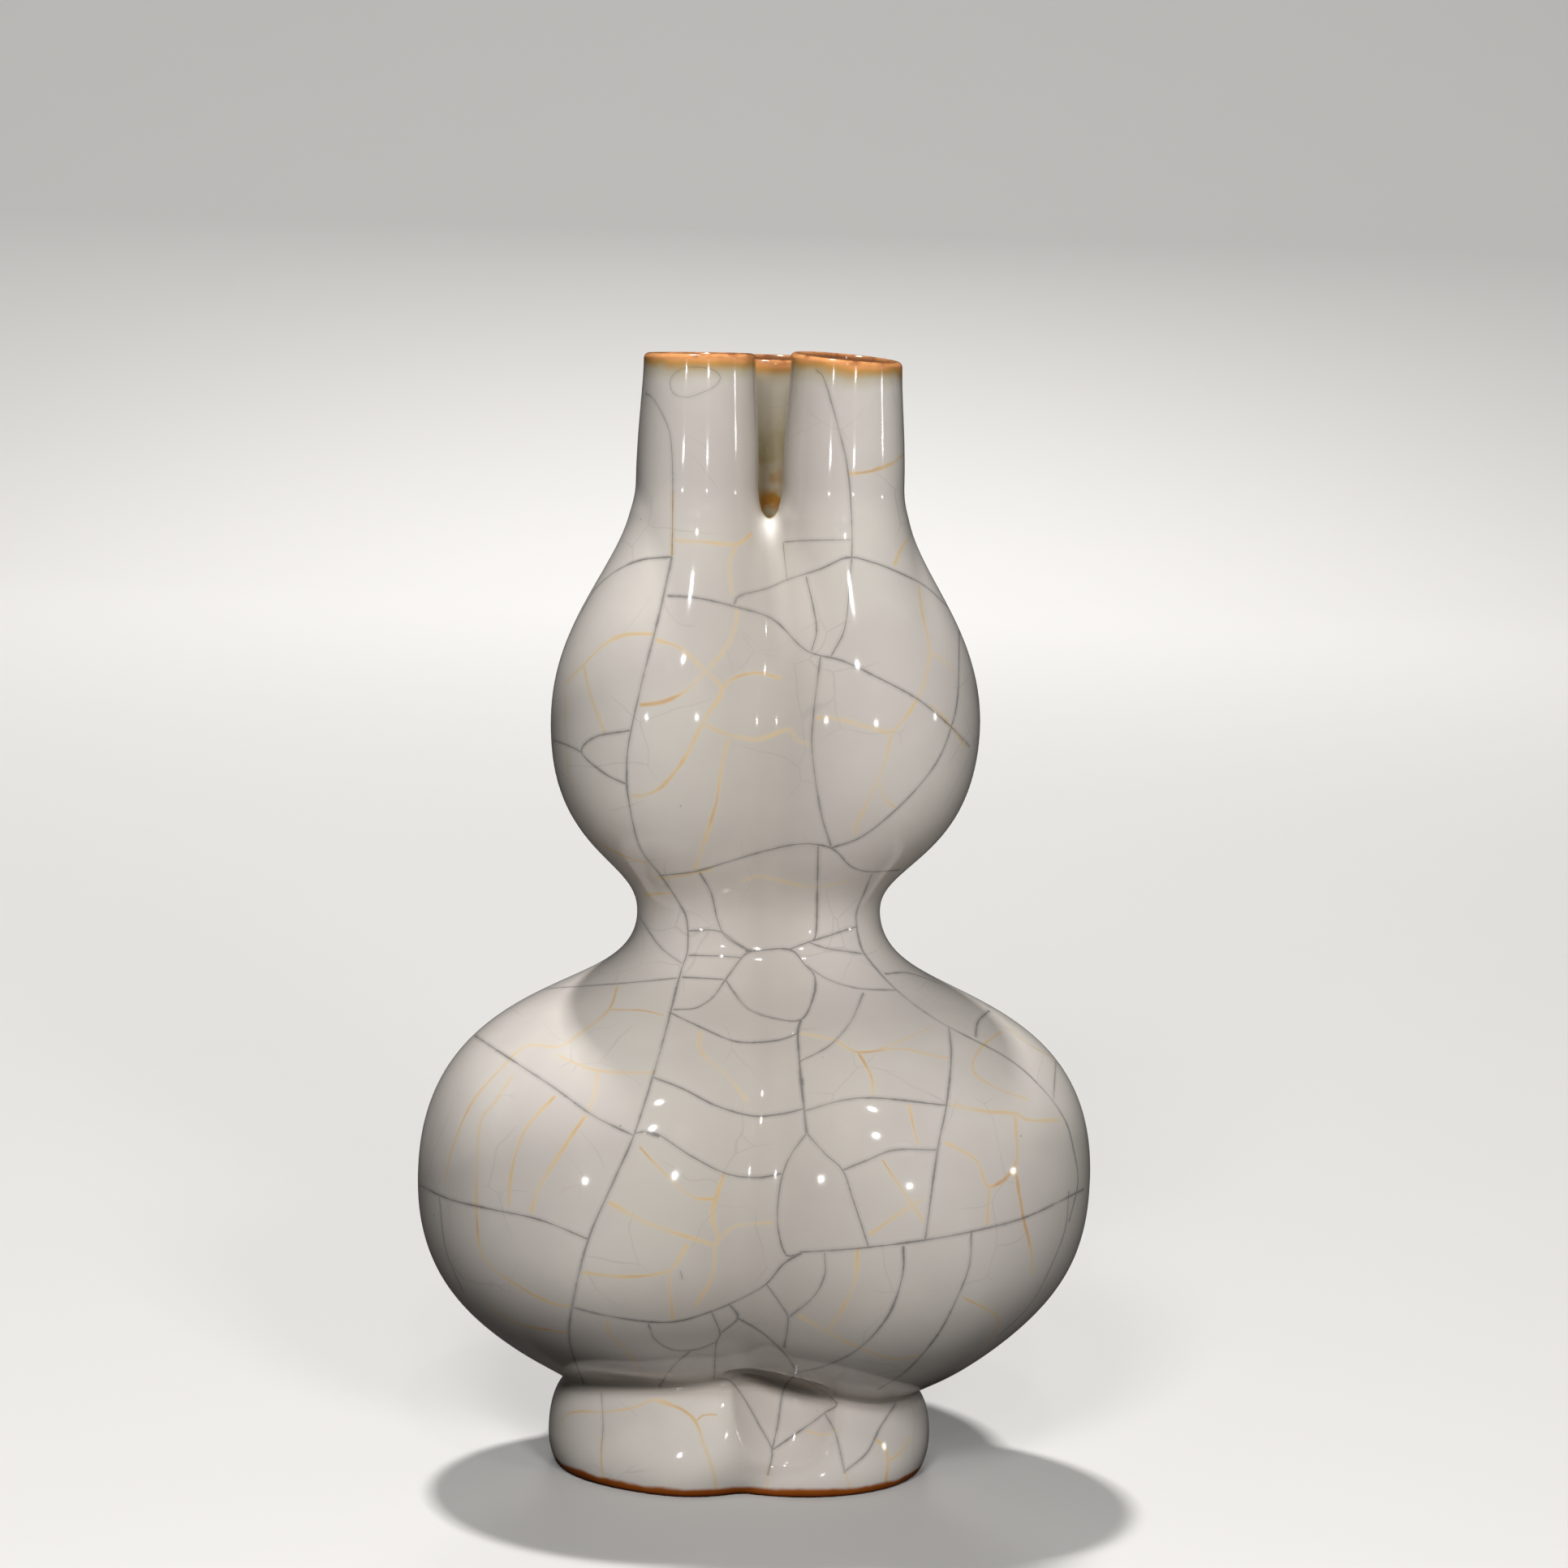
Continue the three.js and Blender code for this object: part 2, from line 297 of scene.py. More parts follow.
class JoinedGourds:
    """The form of the whole vase, as a signed gap to its skin. Lengths are in mm."""

    table_step = 0.05
    bend_steps = 400
    straighten_rounds = 6
    settle_mm = 0.5
    drift_settle_mm = 4.0
    stray_settle_mm = 1.2
    lift_offsets_deg = (-6.0, -3.0, 0.0, 3.0, 6.0)
    lift_weights = (0.4, 0.8, 1.0, 0.8, 0.4)
    probe = 0.15
    # Painted shade, partly where glaze pools: the crease's reach in mm, the shares in the wide groove, narrow
    # groove and dent, and the heights in mm where the wide part starts
    crease_reach = 0.9
    pool_wide, pool_narrow, pool_dent = 0.75, 0.2, 0.6
    pool_shade_from = (18.0, 30.0)

    def __init__(self) -> None:
        """Works out the section at every height from the named levels."""
        self.heights = np.arange(0.0, TOP_HEIGHT, self.table_step)
        columns = [[], [], []]
        share = np.linspace(0.0, 1.0, self.bend_steps)
        for low, high, bend in zip(LEVELS, LEVELS[1:], BENDS):
            rise = high.height - low.height
            handle_heights = (low.height, low.height + bend.leave * rise,
                              high.height - bend.arrive * rise, high.height)
            handle_swells = (0.0, bend.leave_swell, bend.arrive_swell, 1.0)
            height = self.bezier(share, handle_heights)
            swell = self.bezier(share, handle_swells)
            columns[0].append(height)
            columns[1].append(low.spread + swell * (high.spread - low.spread))
            columns[2].append(low.radius + swell * (high.radius - low.radius))
        height, spread, radius = (np.concatenate(column) for column in columns)
        self.spread = self.settle(np.interp(self.heights, height, spread), self.settle_mm)
        self.radius = self.settle(np.interp(self.heights, height, radius), self.settle_mm)
        self.melt = self.chart(LOBE_MELT_MM, self.settle_mm)
        self.drift = self.chart(AXIS_DRIFT_MM, self.drift_settle_mm)
        self.twist = np.radians(self.chart(LOBE_TWIST_DEG, self.drift_settle_mm))
        self.stray = np.radians(self.chart(FRONT_STRAY_DEG, self.stray_settle_mm))
        self.lift_share = self.chart(LIFT_SHARE, self.stray_settle_mm)
        self.slope = np.gradient(self.radius, self.table_step)

    def chart(self, entries: tuple, width: float) -> Array:
        """A table over the height from a few entries of height and amount, settled by width."""
        return self.settle(np.interp(self.heights, *zip(*entries)), width)

    @staticmethod
    def bezier(share: Array, handles: tuple) -> Array:
        """A cubic Bezier curve of one value: its four handles weighed by the Bernstein terms.

        Args:
            share: the way along the curve, from 0 to 1.
            handles: the values of the four handles.

        Returns:
            The curve's values.
        """
        rest = 1.0 - share
        return (rest**3 * handles[0] + 3 * rest**2 * share * handles[1]
                + 3 * rest * share**2 * handles[2] + share**3 * handles[3])

    def settle(self, values: Array, width: float) -> Array:
        """Values over the height, smoothed by a bell curve, as glaze and soft clay settle.

        Args:
            values: one value for each height of the table.
            width: standard deviation of the bell curve, in mm.

        Returns:
            The smoothed values.
        """
        reach = int(3 * width / self.table_step)
        offsets = np.arange(-reach, reach + 1) * self.table_step
        bell = np.exp(-0.5 * (offsets / width) ** 2)
        padded = np.pad(values, reach, mode="reflect", reflect_type="odd")
        return np.convolve(padded, bell / bell.sum(), mode="valid")

    def at(self, table: Array, height: Array) -> Array:
        """A table's value at the given heights."""
        return np.interp(height, self.heights, table)

    def lobe_gaps(self, points: Array) -> list:
        """Level distance from each point to each of the three lobes, less than 0 inside.

        Args:
            points: straight points, in mm.

        Returns:
            Three gaps for each point, in mm.
        """
        height = points[..., 2]
        spread = self.at(self.spread, height)
        radius = self.at(self.radius, height)
        gaps = []
        for lobe in range(LOBE_COUNT):
            angle = BACK_LOBE_ANGLE + lobe * LOBE_TURN
            along = points[..., 0] - spread * math.cos(angle)
            across = points[..., 1] - spread * math.sin(angle)
            gaps.append(np.hypot(along, across) - radius)
        return gaps

    def gap(self, points: Array) -> Array:
        """Signed gap to the skin: the smooth minimum of the three lobe gaps, in every order.

        Args:
            points: straight points, in mm.

        Returns:
            The gap at each point, in mm, less than 0 inside.
        """
        melt = self.at(self.melt, points[..., 2])
        first, second, third = self.lobe_gaps(points)
        total = smooth_min(smooth_min(first, second, melt), third, melt)
        total = total + smooth_min(smooth_min(second, third, melt), first, melt)
        total = total + smooth_min(smooth_min(third, first, melt), second, melt)
        total = total / LOBE_COUNT + sum(hollow.at(points) for hollow in HOLLOWS)
        return THUMBPRINT.press(total, points)

    def pooling_and_shade(self, points: Array) -> Array:
        """Painted shade, partly where the glaze pools: from 0 on a lobe to 1 in a groove, and up to 2 in the
        foot's crease.

        A wide part above the foot, (1 - cos(3 a)) / 2 for the angle a from the nearest lobe, and a
        narrow part, the part f of the melt that fills the groove, evened out as f f (3 - 2 f), or the
        dent's share where that is more, plus a bell over the height of the crease.

        Args:
            points: straight points, in mm.

        Returns:
            The amount at each point.
        """
        melt = self.at(self.melt, points[..., 2])
        filled = (np.minimum.reduce(self.lobe_gaps(points)) - self.gap(points)) * 4.0 / melt
        filled = np.clip(filled, 0.0, 1.0)
        filled = filled**2 * (3.0 - 2.0 * filled)
        angle = np.arctan2(points[..., 1], points[..., 0]) - BACK_LOBE_ANGLE
        between = (1.0 - np.cos(LOBE_COUNT * angle)) / 2.0
        between = between * np.interp(points[..., 2], self.pool_shade_from, (0.0, 1.0))
        grooves = self.pool_wide * between + self.pool_narrow * filled
        # Painted shade in the foot's crease
        crease = np.exp(-0.5 * ((points[..., 2] - FOOT_TOP.height) / self.crease_reach) ** 2)
        return np.maximum(grooves, self.pool_dent * THUMBPRINT.filled(points)) + 2.0 * crease

    def turn(self, points: Array) -> Array:
        """How far straight points are turned: the twist, and the stray in a bell about the front.

        Args:
            points: straight points, in mm.

        Returns:
            The angle at each point, in radians.
        """
        height = points[..., 2]
        bell = np.exp(-0.5 * (degrees_from_front(points) / FRONT_STRAY_REACH_DEG) ** 2)
        return self.at(self.twist, height) + self.at(self.stray, height) * bell

    def lift(self, points: Array) -> Array:
        """How far straight points are lifted, as the foot's top edge rises and falls round the vase.

        A bell curve over the angle evens out the entries.

        Args:
            points: straight points, in mm.

        Returns:
            The rise at each point, in mm.
        """
        from_front = degrees_from_front(points)
        rise = np.zeros_like(from_front)
        for offset, weight in zip(self.lift_offsets_deg, self.lift_weights):
            turned_to = (from_front + offset + 180.0) % 360.0 - 180.0
            rise = rise + weight * np.interp(turned_to, *zip(*FOOT_LIFT_MM))
        return rise / sum(self.lift_weights) * self.at(self.lift_share, points[..., 2])

    def lean(self, points: Array) -> Array:
        """Straight points turned by their turn, moved by the drift at their height, and lifted.

        Args:
            points: straight points, in mm.

        Returns:
            The leaning points.
        """
        turn = self.turn(points)
        drift = self.at(self.drift, points[..., 2])
        lifted = points[..., 2] + self.lift(points)
        leaning = turned(points, turn)
        return np.stack([leaning[..., 0] + drift, leaning[..., 1] + AXIS_Y, lifted], axis=-1)

    def straighten(self, points: Array) -> Array:
        """The points that lean would move to these, found by moving them back a few times.

        Args:
            points: leaning points, in mm.

        Returns:
            The straight points.
        """
        along = points[..., 1] - AXIS_Y
        straight = np.stack([points[..., 0], along, points[..., 2]], axis=-1)
        for _ in range(self.straighten_rounds):
            height = points[..., 2] - self.lift(straight)
            across = points[..., 0] - self.at(self.drift, height)
            straight = turned(np.stack([across, along, height], axis=-1), -self.turn(straight))
        return straight

    def normals(self, points: Array) -> Array:
        """Outward unit normals: the gradient of the gap, by central differences of 2 probes.

        Args:
            points: leaning points on the skin, in mm.

        Returns:
            A unit vector for each point.
        """
        parts = []
        for axis in range(3):
            step = np.zeros(3)
            step[axis] = self.probe
            ahead = self.gap(self.straighten(points + step))
            behind = self.gap(self.straighten(points - step))
            parts.append(ahead - behind)
        normal = np.stack(parts, axis=-1)
        return normal / np.linalg.norm(normal, axis=-1, keepdims=True)

    def inset_for_wall(self, height: Array) -> Array:
        """Level inset that leaves the body's wall square to the skin, and the bore in the necks."""
        square = BODY_WALL * np.sqrt(1.0 + self.at(self.slope, height) ** 2)
        return np.minimum(square, self.at(self.radius, height) - BORE_RADIUS)

    def ring(self, angle: Array, height: Array, inset: Array) -> Array:
        """Points of the skin about the vase's axis, at angles and heights, drawn in by inset.

        The distance from the axis is corrected by the gap that is left, time after time.

        Args:
            angle: angles about the axis, in radians.
            height: heights, in mm.
            inset: how far each point lies inside the skin, in mm.

        Returns:
            The straight points, one for each angle, height and inset.
        """
        angle, height, inset = np.broadcast_arrays(angle, height, inset)
        distance = self.at(self.spread, height) + self.at(self.radius, height)
        for _ in range(HALVINGS):
            points = np.stack([distance * np.cos(angle), distance * np.sin(angle), height], axis=-1)
            distance = distance - (self.gap(points) + inset)
        return np.stack([distance * np.cos(angle), distance * np.sin(angle), height], axis=-1)

    def even_heights(self, low: float, high: float, pitch: float) -> Array:
        """Heights from low to high that lie about pitch apart along the outline.

        Args:
            low: the first height, in mm.
            high: the last height, in mm.
            pitch: the distance along the outline, in mm.

        Returns:
            The heights, upwards.
        """
        inside = self.heights[(self.heights > low) & (self.heights < high)]
        height = np.concatenate([[low], inside, [high]])
        width = self.at(self.radius, height) + self.at(self.spread, height)
        length = np.concatenate([[0.0], np.cumsum(np.hypot(np.diff(height), np.diff(width)))])
        count = max(2, int(round(length[-1] / pitch)) + 1)
        return np.interp(np.linspace(0.0, length[-1], count), length, height)


GOURDS = JoinedGourds()


@dataclass
class NeckRays:
    """Rays from a neck's axis: the columns of the grid where the body parts into necks.

    The sector is that of one lobe, which lies along +X here. Outward columns end on a level ring
    of the body at floor height. Inward columns end on the crease planes between the lobes: up the
    groove, over the saddle and down into the well between the necks.
    """

    floor: float
    inset_of: Callable
    directions: Array = field(init=False)
    reach: Array = field(init=False)
    foot: Array = field(init=False)

    def __post_init__(self) -> None:
        """Works out each ray's direction and where it ends."""
        centre = np.array([NECK_SEAT.spread, 0.0])
        polar = np.linspace(-HALF_TURN, HALF_TURN, GROOVE_COLUMNS + 1)
        level = np.full_like(polar, self.floor)
        base = self.lobe_ring(polar, level)
        offset = base[:, :2] - centre
        edge = math.atan2(offset[-1, 1], offset[-1, 0])
        inward = np.linspace(edge, 2 * math.pi - edge, INWARD_COLUMNS + 2)[1:-1]
        folded = np.minimum(inward, 2 * math.pi - inward)
        along_plane = NECK_SEAT.spread * np.sin(folded) / np.sin(folded - HALF_TURN)
        side = np.where(inward <= math.pi, HALF_TURN, -HALF_TURN)
        crease = self.crease_height(along_plane)
        ends = np.stack([along_plane * np.cos(side), along_plane * np.sin(side), crease], axis=-1)
        self.foot = np.concatenate([base, ends])
        offset = self.foot[:, :2] - centre
        self.reach = np.linalg.norm(offset, axis=1)
        self.directions = offset / self.reach[:, None]

    def gap(self, points: Array) -> Array:
        """Gap to the skin or to its inner wall, for points of this sector."""
        return GOURDS.gap(turned(points, BACK_LOBE_ANGLE)) + self.inset_of(points[..., 2])

    def lobe_ring(self, polar: Array, height: Array) -> Array:
        """The body's level ring over this sector."""
        points = GOURDS.ring(polar + BACK_LOBE_ANGLE, height, self.inset_of(height))
        return turned(points, -BACK_LOBE_ANGLE)

    def crease_height(self, along_plane: Array) -> Array:
        """Height of the skin over the crease plane, halved down between the floor and the necks.

        Args:
            along_plane: distances from the vase's axis along the crease plane.

        Returns:
            A height for each distance, in mm.
        """
        low = np.full_like(along_plane, self.floor - 1.0)
        return self.halved(low, np.full_like(along_plane, MOUTH.height), lambda height: np.stack(
            [along_plane * math.cos(HALF_TURN), along_plane * math.sin(HALF_TURN), height], axis=-1))

    def halved(self, low: Array, high: Array, place: Callable) -> Array:
        """Where the skin lies between low and high, by halving the stretch time after time.

        Args:
            low: amounts whose places are inside.
            high: amounts whose places are outside.
            place: gives the places for amounts.

        Returns:
            The amounts whose places are on the skin.
        """
        for _ in range(HALVINGS):
            middle = (low + high) / 2
            outside = self.gap(place(middle)) > 0
            high = np.where(outside, middle, high)
            low = np.where(outside, low, middle)
        return (low + high) / 2

    def strike(self, height: Array) -> Array:
        """Where each ray meets the skin at each height, by halving the ray.

        Args:
            height: heights with one row for each row of the grid and one column for each ray.

        Returns:
            The points, as rows by rays by 3.
        """
        high = np.broadcast_to(self.reach, height.shape)
        distance = self.halved(np.zeros_like(height), high, lambda amount: self.on_rays(amount, height))
        return self.on_rays(distance, height)

    def on_rays(self, distance: Array, height: Array) -> Array:
        """Points at distances along the rays."""
        return np.stack([NECK_SEAT.spread + distance * self.directions[:, 0],
                         distance * self.directions[:, 1], height], axis=-1)

    def crown(self, rows: int) -> Array:
        """The grid from the foot of each ray up to the level where the necks start.

        Rows crowd towards the crease, where the skin turns level: the height rises as a power of
        the row's share, from 1 on the outside to 2 between the necks.

        Args:
            rows: how many rows of points the grid has.

        Returns:
            The points, as rows by rays by 3.
        """
        share = np.linspace(0.0, 1.0, rows)[1:, None]
        inwardness = np.interp(-self.directions[:, 0], CROWDING, (0.0, 1.0))
        rise = self.foot[:, 2] + (NECK_START - self.foot[:, 2]) * share ** (1.0 + inwardness)
        return np.concatenate([self.foot[None], self.strike(rise)])


class Skin:
    """A mesh gathered from grids of points, welded where they share an edge."""

    weld_decimals = 4

    def __init__(self) -> None:
        """Starts with nothing."""
        self.points: list = []
        self.outer: list = []
        self.rim: list = []
        self.quads: list = []
        self.triangles: list = []
        self.count = 0

    def add(self, points: Array, outer: bool = False, rim: Array | None = None,
            flip: bool = False) -> Array:
        """Adds a grid of points whose rows are rings, with a quad between each four neighbours.

        Args:
            points: rows by columns by 3, in mm, in the leaning frame.
            outer: whether it is the visible outer skin.
            rim: distance from the mouth for each point, or None where it has none.
            flip: whether the faces turn the other way.

        Returns:
            The index of each point, rows by columns.
        """
        rows, columns = points.shape[:2]
        index = self.count + np.arange(rows * columns).reshape(rows, columns)
        self.points.append(points.reshape(-1, 3))
        self.outer.append(np.full(rows * columns, outer))
        far = np.full(rows * columns, FAR_FROM_MOUTH)
        self.rim.append(far if rim is None else rim.reshape(-1))
        self.count += rows * columns
        right = np.roll(index, -1, axis=1)
        quads = np.stack([index[:-1], right[:-1], right[1:], index[1:]], axis=-1).reshape(-1, 4)
        self.quads.append(quads[:, ::-1] if flip else quads)
        return index

    def bridge(self, lower: Array, upper: Array, flip: bool = False) -> None:
        """Quads between two rows of points that were added before.

        Args:
            lower: the indices of one row.
            upper: the indices of the other.
            flip: whether the faces turn the other way.
        """
        right_low, right_high = np.roll(lower, -1), np.roll(upper, -1)
        quads = np.stack([lower, right_low, right_high, upper], axis=-1)
        self.quads.append(quads[:, ::-1] if flip else quads)

    def close(self, ring: Array, pole: Array, flip: bool = False) -> None:
        """A fan of triangles from a ring of points to a new point at its middle.

        Args:
            ring: the indices of the ring.
            pole: the place of the new point.
            flip: whether the faces turn the other way.
        """
        self.points.append(np.asarray(pole, dtype=float).reshape(1, 3))
        self.outer.append(np.array([False]))
        self.rim.append(np.array([FAR_FROM_MOUTH]))
        middle = np.full_like(ring, self.count)
        self.count += 1
        fan = np.stack([ring, np.roll(ring, -1), middle], axis=-1)
        self.triangles.append(fan[:, ::-1] if flip else fan)

    def weld(self) -> tuple:
        """Merges points that lie together and drops the faces that vanish.

        Returns:
            Points, outer flags, mouth distances and a list of faces.
        """
        points = np.concatenate(self.points)
        keys, first, index = np.unique(np.round(points, self.weld_decimals), axis=0,
                                       return_index=True, return_inverse=True)
        index = index.reshape(-1)
        outer = np.zeros(len(keys), dtype=bool)
        np.logical_or.at(outer, index, np.concatenate(self.outer))
        rim = np.concatenate(self.rim)[first]
        faces = []
        for group in self.quads + self.triangles:
            if len(group):
                faces.extend(self.tidy_faces(index[group]))
        return points[first], outer, rim, faces

    @staticmethod
    def tidy_faces(group: Array) -> list:
        """Faces without the corners that welding made one, and without those that lost their area.

        Args:
            group: the corners of faces, one face to a row.

        Returns:
            The faces that are left.
        """
        repeated = group == np.roll(group, 1, axis=1)
        whole = group[~repeated.any(axis=1)].tolist()
        for face, same in zip(group[repeated.any(axis=1)], repeated[repeated.any(axis=1)]):
            corners = face[~same].tolist()
            if len(corners) > 2:
                whole.append(corners)
        return whole

    def to_object(self, name: str) -> bpy.types.Object:
        """Writes the mesh, with the skin's own normals, and puts it in the scene.

        Args:
            name: the name of the piece.

        Returns:
            The piece.
        """
        points, outer, rim, faces = self.weld()
        mesh = bpy.data.meshes.new(name)
        mesh.from_pydata((points * METRES_PER_MM).tolist(), [], faces)
        mesh.shade_smooth()
        mesh.update()
        normals = np.zeros(len(points) * 3)
        mesh.vertex_normals.foreach_get("vector", normals)
        normals = normals.reshape(-1, 3)
        normals[outer] = GOURDS.normals(points[outer])
        mesh.normals_split_custom_set_from_vertices(normals.tolist())
        straight = GOURDS.straighten(points)
        pooling_and_shade = np.where(outer, GOURDS.pooling_and_shade(straight), 0.0)
        for label, values in (("from_mouth", rim), ("pooling_and_shade", pooling_and_shade), ("well", well_depth(straight)),
                              ("bore", bore_share(straight)), ("saddle", saddle_share(straight)),
                              ("skin", outer.astype(float))):
            attribute = mesh.attributes.new(label, "FLOAT", "POINT")
            attribute.data.foreach_set("value", values.astype(np.float32))
        return put(name, mesh)


def well_depth(points: Array) -> Array:
    """How deep each point lies in the well between the necks, from 0 outside to 1 at its floor.

    The share of the way down, never under a fifth, times the share of the way in from the reach of
    the well.

    Args:
        points: straight points, in mm.

    Returns:
        The depth at each point.
    """
    down = np.clip((WELL_TINT_TOP - points[:, 2]) / (WELL_TINT_TOP - WELL_FLOOR), WELL_LEAST_SHARE, 1.0)
    inward = np.clip((WELL_REACH - np.hypot(points[:, 0], points[:, 1])) / WELL_EDGE, 0.0, 1.0)
    above = (points[:, 2] > WELL_FLOOR - WELL_EDGE).astype(float)
    return down * inward * above


def around(distance: float, first_angle: float) -> Array:
    """Three places at a distance from the axis, a third of a turn apart."""
    angles = first_angle + LOBE_TURN * np.arange(LOBE_COUNT)
    return distance * np.stack([np.cos(angles), np.sin(angles)], axis=-1)


def bore_share(points: Array) -> Array:
    """How far into a neck's bore each point lies, from 0 on the lip's crest to 1 at the bore's wall.

    Args:
        points: straight points, in mm.

    Returns:
        The share at each point.
    """
    centres = around(NECK_SEAT.spread, BACK_LOBE_ANGLE)
    away = np.linalg.norm(points[:, None, :2] - centres, axis=-1).min(axis=1)
    crest = MOUTH.radius - LIP_RADIUS
    above = (points[:, 2] > NECK_SEAT.height).astype(float)
    return np.clip((crest - away) / (crest - BORE_RADIUS), 0.0, 1.0) * above


def saddle_share(points: Array) -> Array:
    """Share of the painted highlight on the saddles between two necks: a bell about each of the three.

    Args:
        points: straight points, in mm.

    Returns:
        The share at each point.
    """
    level = np.full((LOBE_COUNT, 1), SADDLE_HEIGHT)
    places = np.hstack([around(SADDLE_REACH, BACK_LOBE_ANGLE + HALF_TURN), level])
    away = np.linalg.norm(points[:, None] - places, axis=-1).min(axis=1)
    return np.exp(-0.5 * (away / SADDLE_SPREAD) ** 2)


COLUMN_ANGLES = BACK_LOBE_ANGLE - HALF_TURN + np.arange(GROOVE_COLUMNS * LOBE_COUNT) * (
    LOBE_TURN / GROOVE_COLUMNS)


def body_rings(heights: Array, insets: Array) -> Array:
    """Leaning rings of the body, one for each height and inset."""
    points = GOURDS.ring(COLUMN_ANGLES[None, :], heights[:, None], insets[:, None])
    return GOURDS.lean(points)


def shrunk(ring: Array, shares: Array) -> Array:
    """Copies of a ring drawn towards its own middle by shares of its size."""
    middle = ring.mean(axis=0)
    return middle + shares[:, None, None] * (ring - middle)


class Slot(Enum):
    """Material slots of the record."""

    GLAZE = "glaze"
    MOUTH = "mouth_glaze"
    FOOT = "foot_glaze"


@dataclass
class Section:
    """One thrown section of the vase, which stands for the solid of the same name."""

    node: str
    slot: Slot
    pitch: float = 1.0

    def skin(self) -> Skin:
        """The section's closed surface."""
        raise NotImplementedError

    def outer_wall(self, skin: Skin, low: float, high: float) -> Array:
        """Adds the glazed wall between two heights, and gives the index of each point."""
        heights = GOURDS.even_heights(low, high, self.pitch)
        return skin.add(body_rings(heights, np.zeros_like(heights)), outer=True)

    def inner_heights(self, low: float, high: float) -> Array:
        """Heights for the rings of an inner wall, twice as far apart as on the outer one."""
        return GOURDS.even_heights(low, high, self.pitch * 2)

    def build(self) -> bpy.types.Object:
        """Makes the section's object and puts it in the place of its solid.

        Returns:
            The piece.
        """
        piece = self.skin().to_object(f"{self.node}_glazed")
        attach(piece, BODY)
        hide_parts(self.node)
        LOG.info("%s: %d faces", piece.name, len(piece.data.polygons))
        return piece


@dataclass
class FootRing(Section):
    """The lobed foot: a ring with a rounded sole, in one finish inside and outside."""

    wall: float = 4.6
    sole_round: float = 0.7
    round_steps: int = 4
    pitch: float = 0.8

    def inner_inset(self, height: Array) -> Array:
        """Inset of the ring's inner wall, which runs straight from the sole to the top.

        Args:
            height: heights, in mm.

        Returns:
            The inset at each height, in mm.
        """
        share = (height - SOLE.height) / (FOOT_TOP.height - SOLE.height)
        inner = SOLE.radius + share * (FOOT_TOP.radius - SOLE.radius) - self.wall
        return GOURDS.at(GOURDS.radius, height) - inner

    def skin(self) -> Skin:
        """Outer wall, top, inner wall and sole as one loop of rings.

        The edges of the sole are quarter circles: inset and height follow the cosine and the sine
        of one angle.

        Returns:
            The closed surface.
        """
        skin = Skin()
        turn = np.linspace(0.0, math.pi / 2, self.round_steps + 1)[:-1]
        inner_heights = np.array([FOOT_TOP.height, FOOT_TOP.height / 2, self.sole_round])
        outside = self.outer_wall(skin, self.sole_round, FOOT_TOP.height)
        inside = skin.add(body_rings(inner_heights, self.inner_inset(inner_heights)))
        lift = self.sole_round * (1.0 - np.cos(turn))
        edge = self.sole_round * (1.0 - np.sin(turn))
        inner_edge = self.inner_inset(lift) - edge
        sole_heights = np.concatenate([lift[::-1], lift])
        sole = skin.add(body_rings(sole_heights, np.concatenate([inner_edge[::-1], edge])))
        skin.bridge(outside[-1], inside[0])
        skin.bridge(inside[-1], sole[0])
        skin.bridge(sole[-1], outside[0])
        return skin


@dataclass
class LowerBowl(Section):
    """The bowl of the lower bulb, with its floor."""

    floor_thickness: float = 5.0
    floor_corner: float = 2.0
    corner_steps: int = 4
    disc_shares: tuple = (0.9, 0.7, 0.45, 0.2)

    def skin(self) -> Skin:
        """Outer wall, rim, inner wall with a rounded foot, floor and underside.

        Returns:
            The closed surface.
        """
        skin = Skin()
        floor = FOOT_TOP.height + self.floor_thickness
        outside = self.outer_wall(skin, FOOT_TOP.height, LOWER_EQUATOR.height)
        inner_heights = self.inner_heights(floor + self.floor_corner, LOWER_EQUATOR.height)[::-1]
        inner_insets = GOURDS.inset_for_wall(inner_heights)
        turn = np.linspace(0.0, math.pi / 2, self.corner_steps + 1)[1:]
        corner_heights = floor + self.floor_corner * (1.0 - np.sin(turn))
        corner_insets = inner_insets[-1] + self.floor_corner * (1.0 - np.cos(turn))
        wall_rings = body_rings(np.concatenate([inner_heights, corner_heights]),
                                np.concatenate([inner_insets, corner_insets]))
        inside = skin.add(wall_rings)
        skin.bridge(outside[-1], inside[0])
        shares = np.array(self.disc_shares)
        floor_disc = skin.add(shrunk(wall_rings[-1], shares))
        skin.bridge(inside[-1], floor_disc[0])
        skin.close(floor_disc[-1], wall_rings[-1].mean(axis=0))
        bottom_ring = body_rings(np.array([FOOT_TOP.height]), np.zeros(1))[0]
        underside = skin.add(shrunk(bottom_ring, shares), flip=True)
        skin.bridge(outside[0], underside[0], flip=True)
        skin.close(underside[-1], bottom_ring.mean(axis=0), flip=True)
        return skin


@dataclass
class OpenShell(Section):
    """A shell open at both ends: the dome of the lower bulb, or the bowl of the upper one."""

    low: Level = WAIST
    high: Level = UPPER_EQUATOR

    def skin(self) -> Skin:
        """Outer wall, upper rim, inner wall and lower rim as one loop of rings.

        Returns:
            The closed surface.
        """
        skin = Skin()
        outside = self.outer_wall(skin, self.low.height, self.high.height)
        inner_heights = self.inner_heights(self.low.height, self.high.height)[::-1]
        inside = skin.add(body_rings(inner_heights, GOURDS.inset_for_wall(inner_heights)))
        skin.bridge(outside[-1], inside[0])
        skin.bridge(inside[-1], outside[0])
        return skin


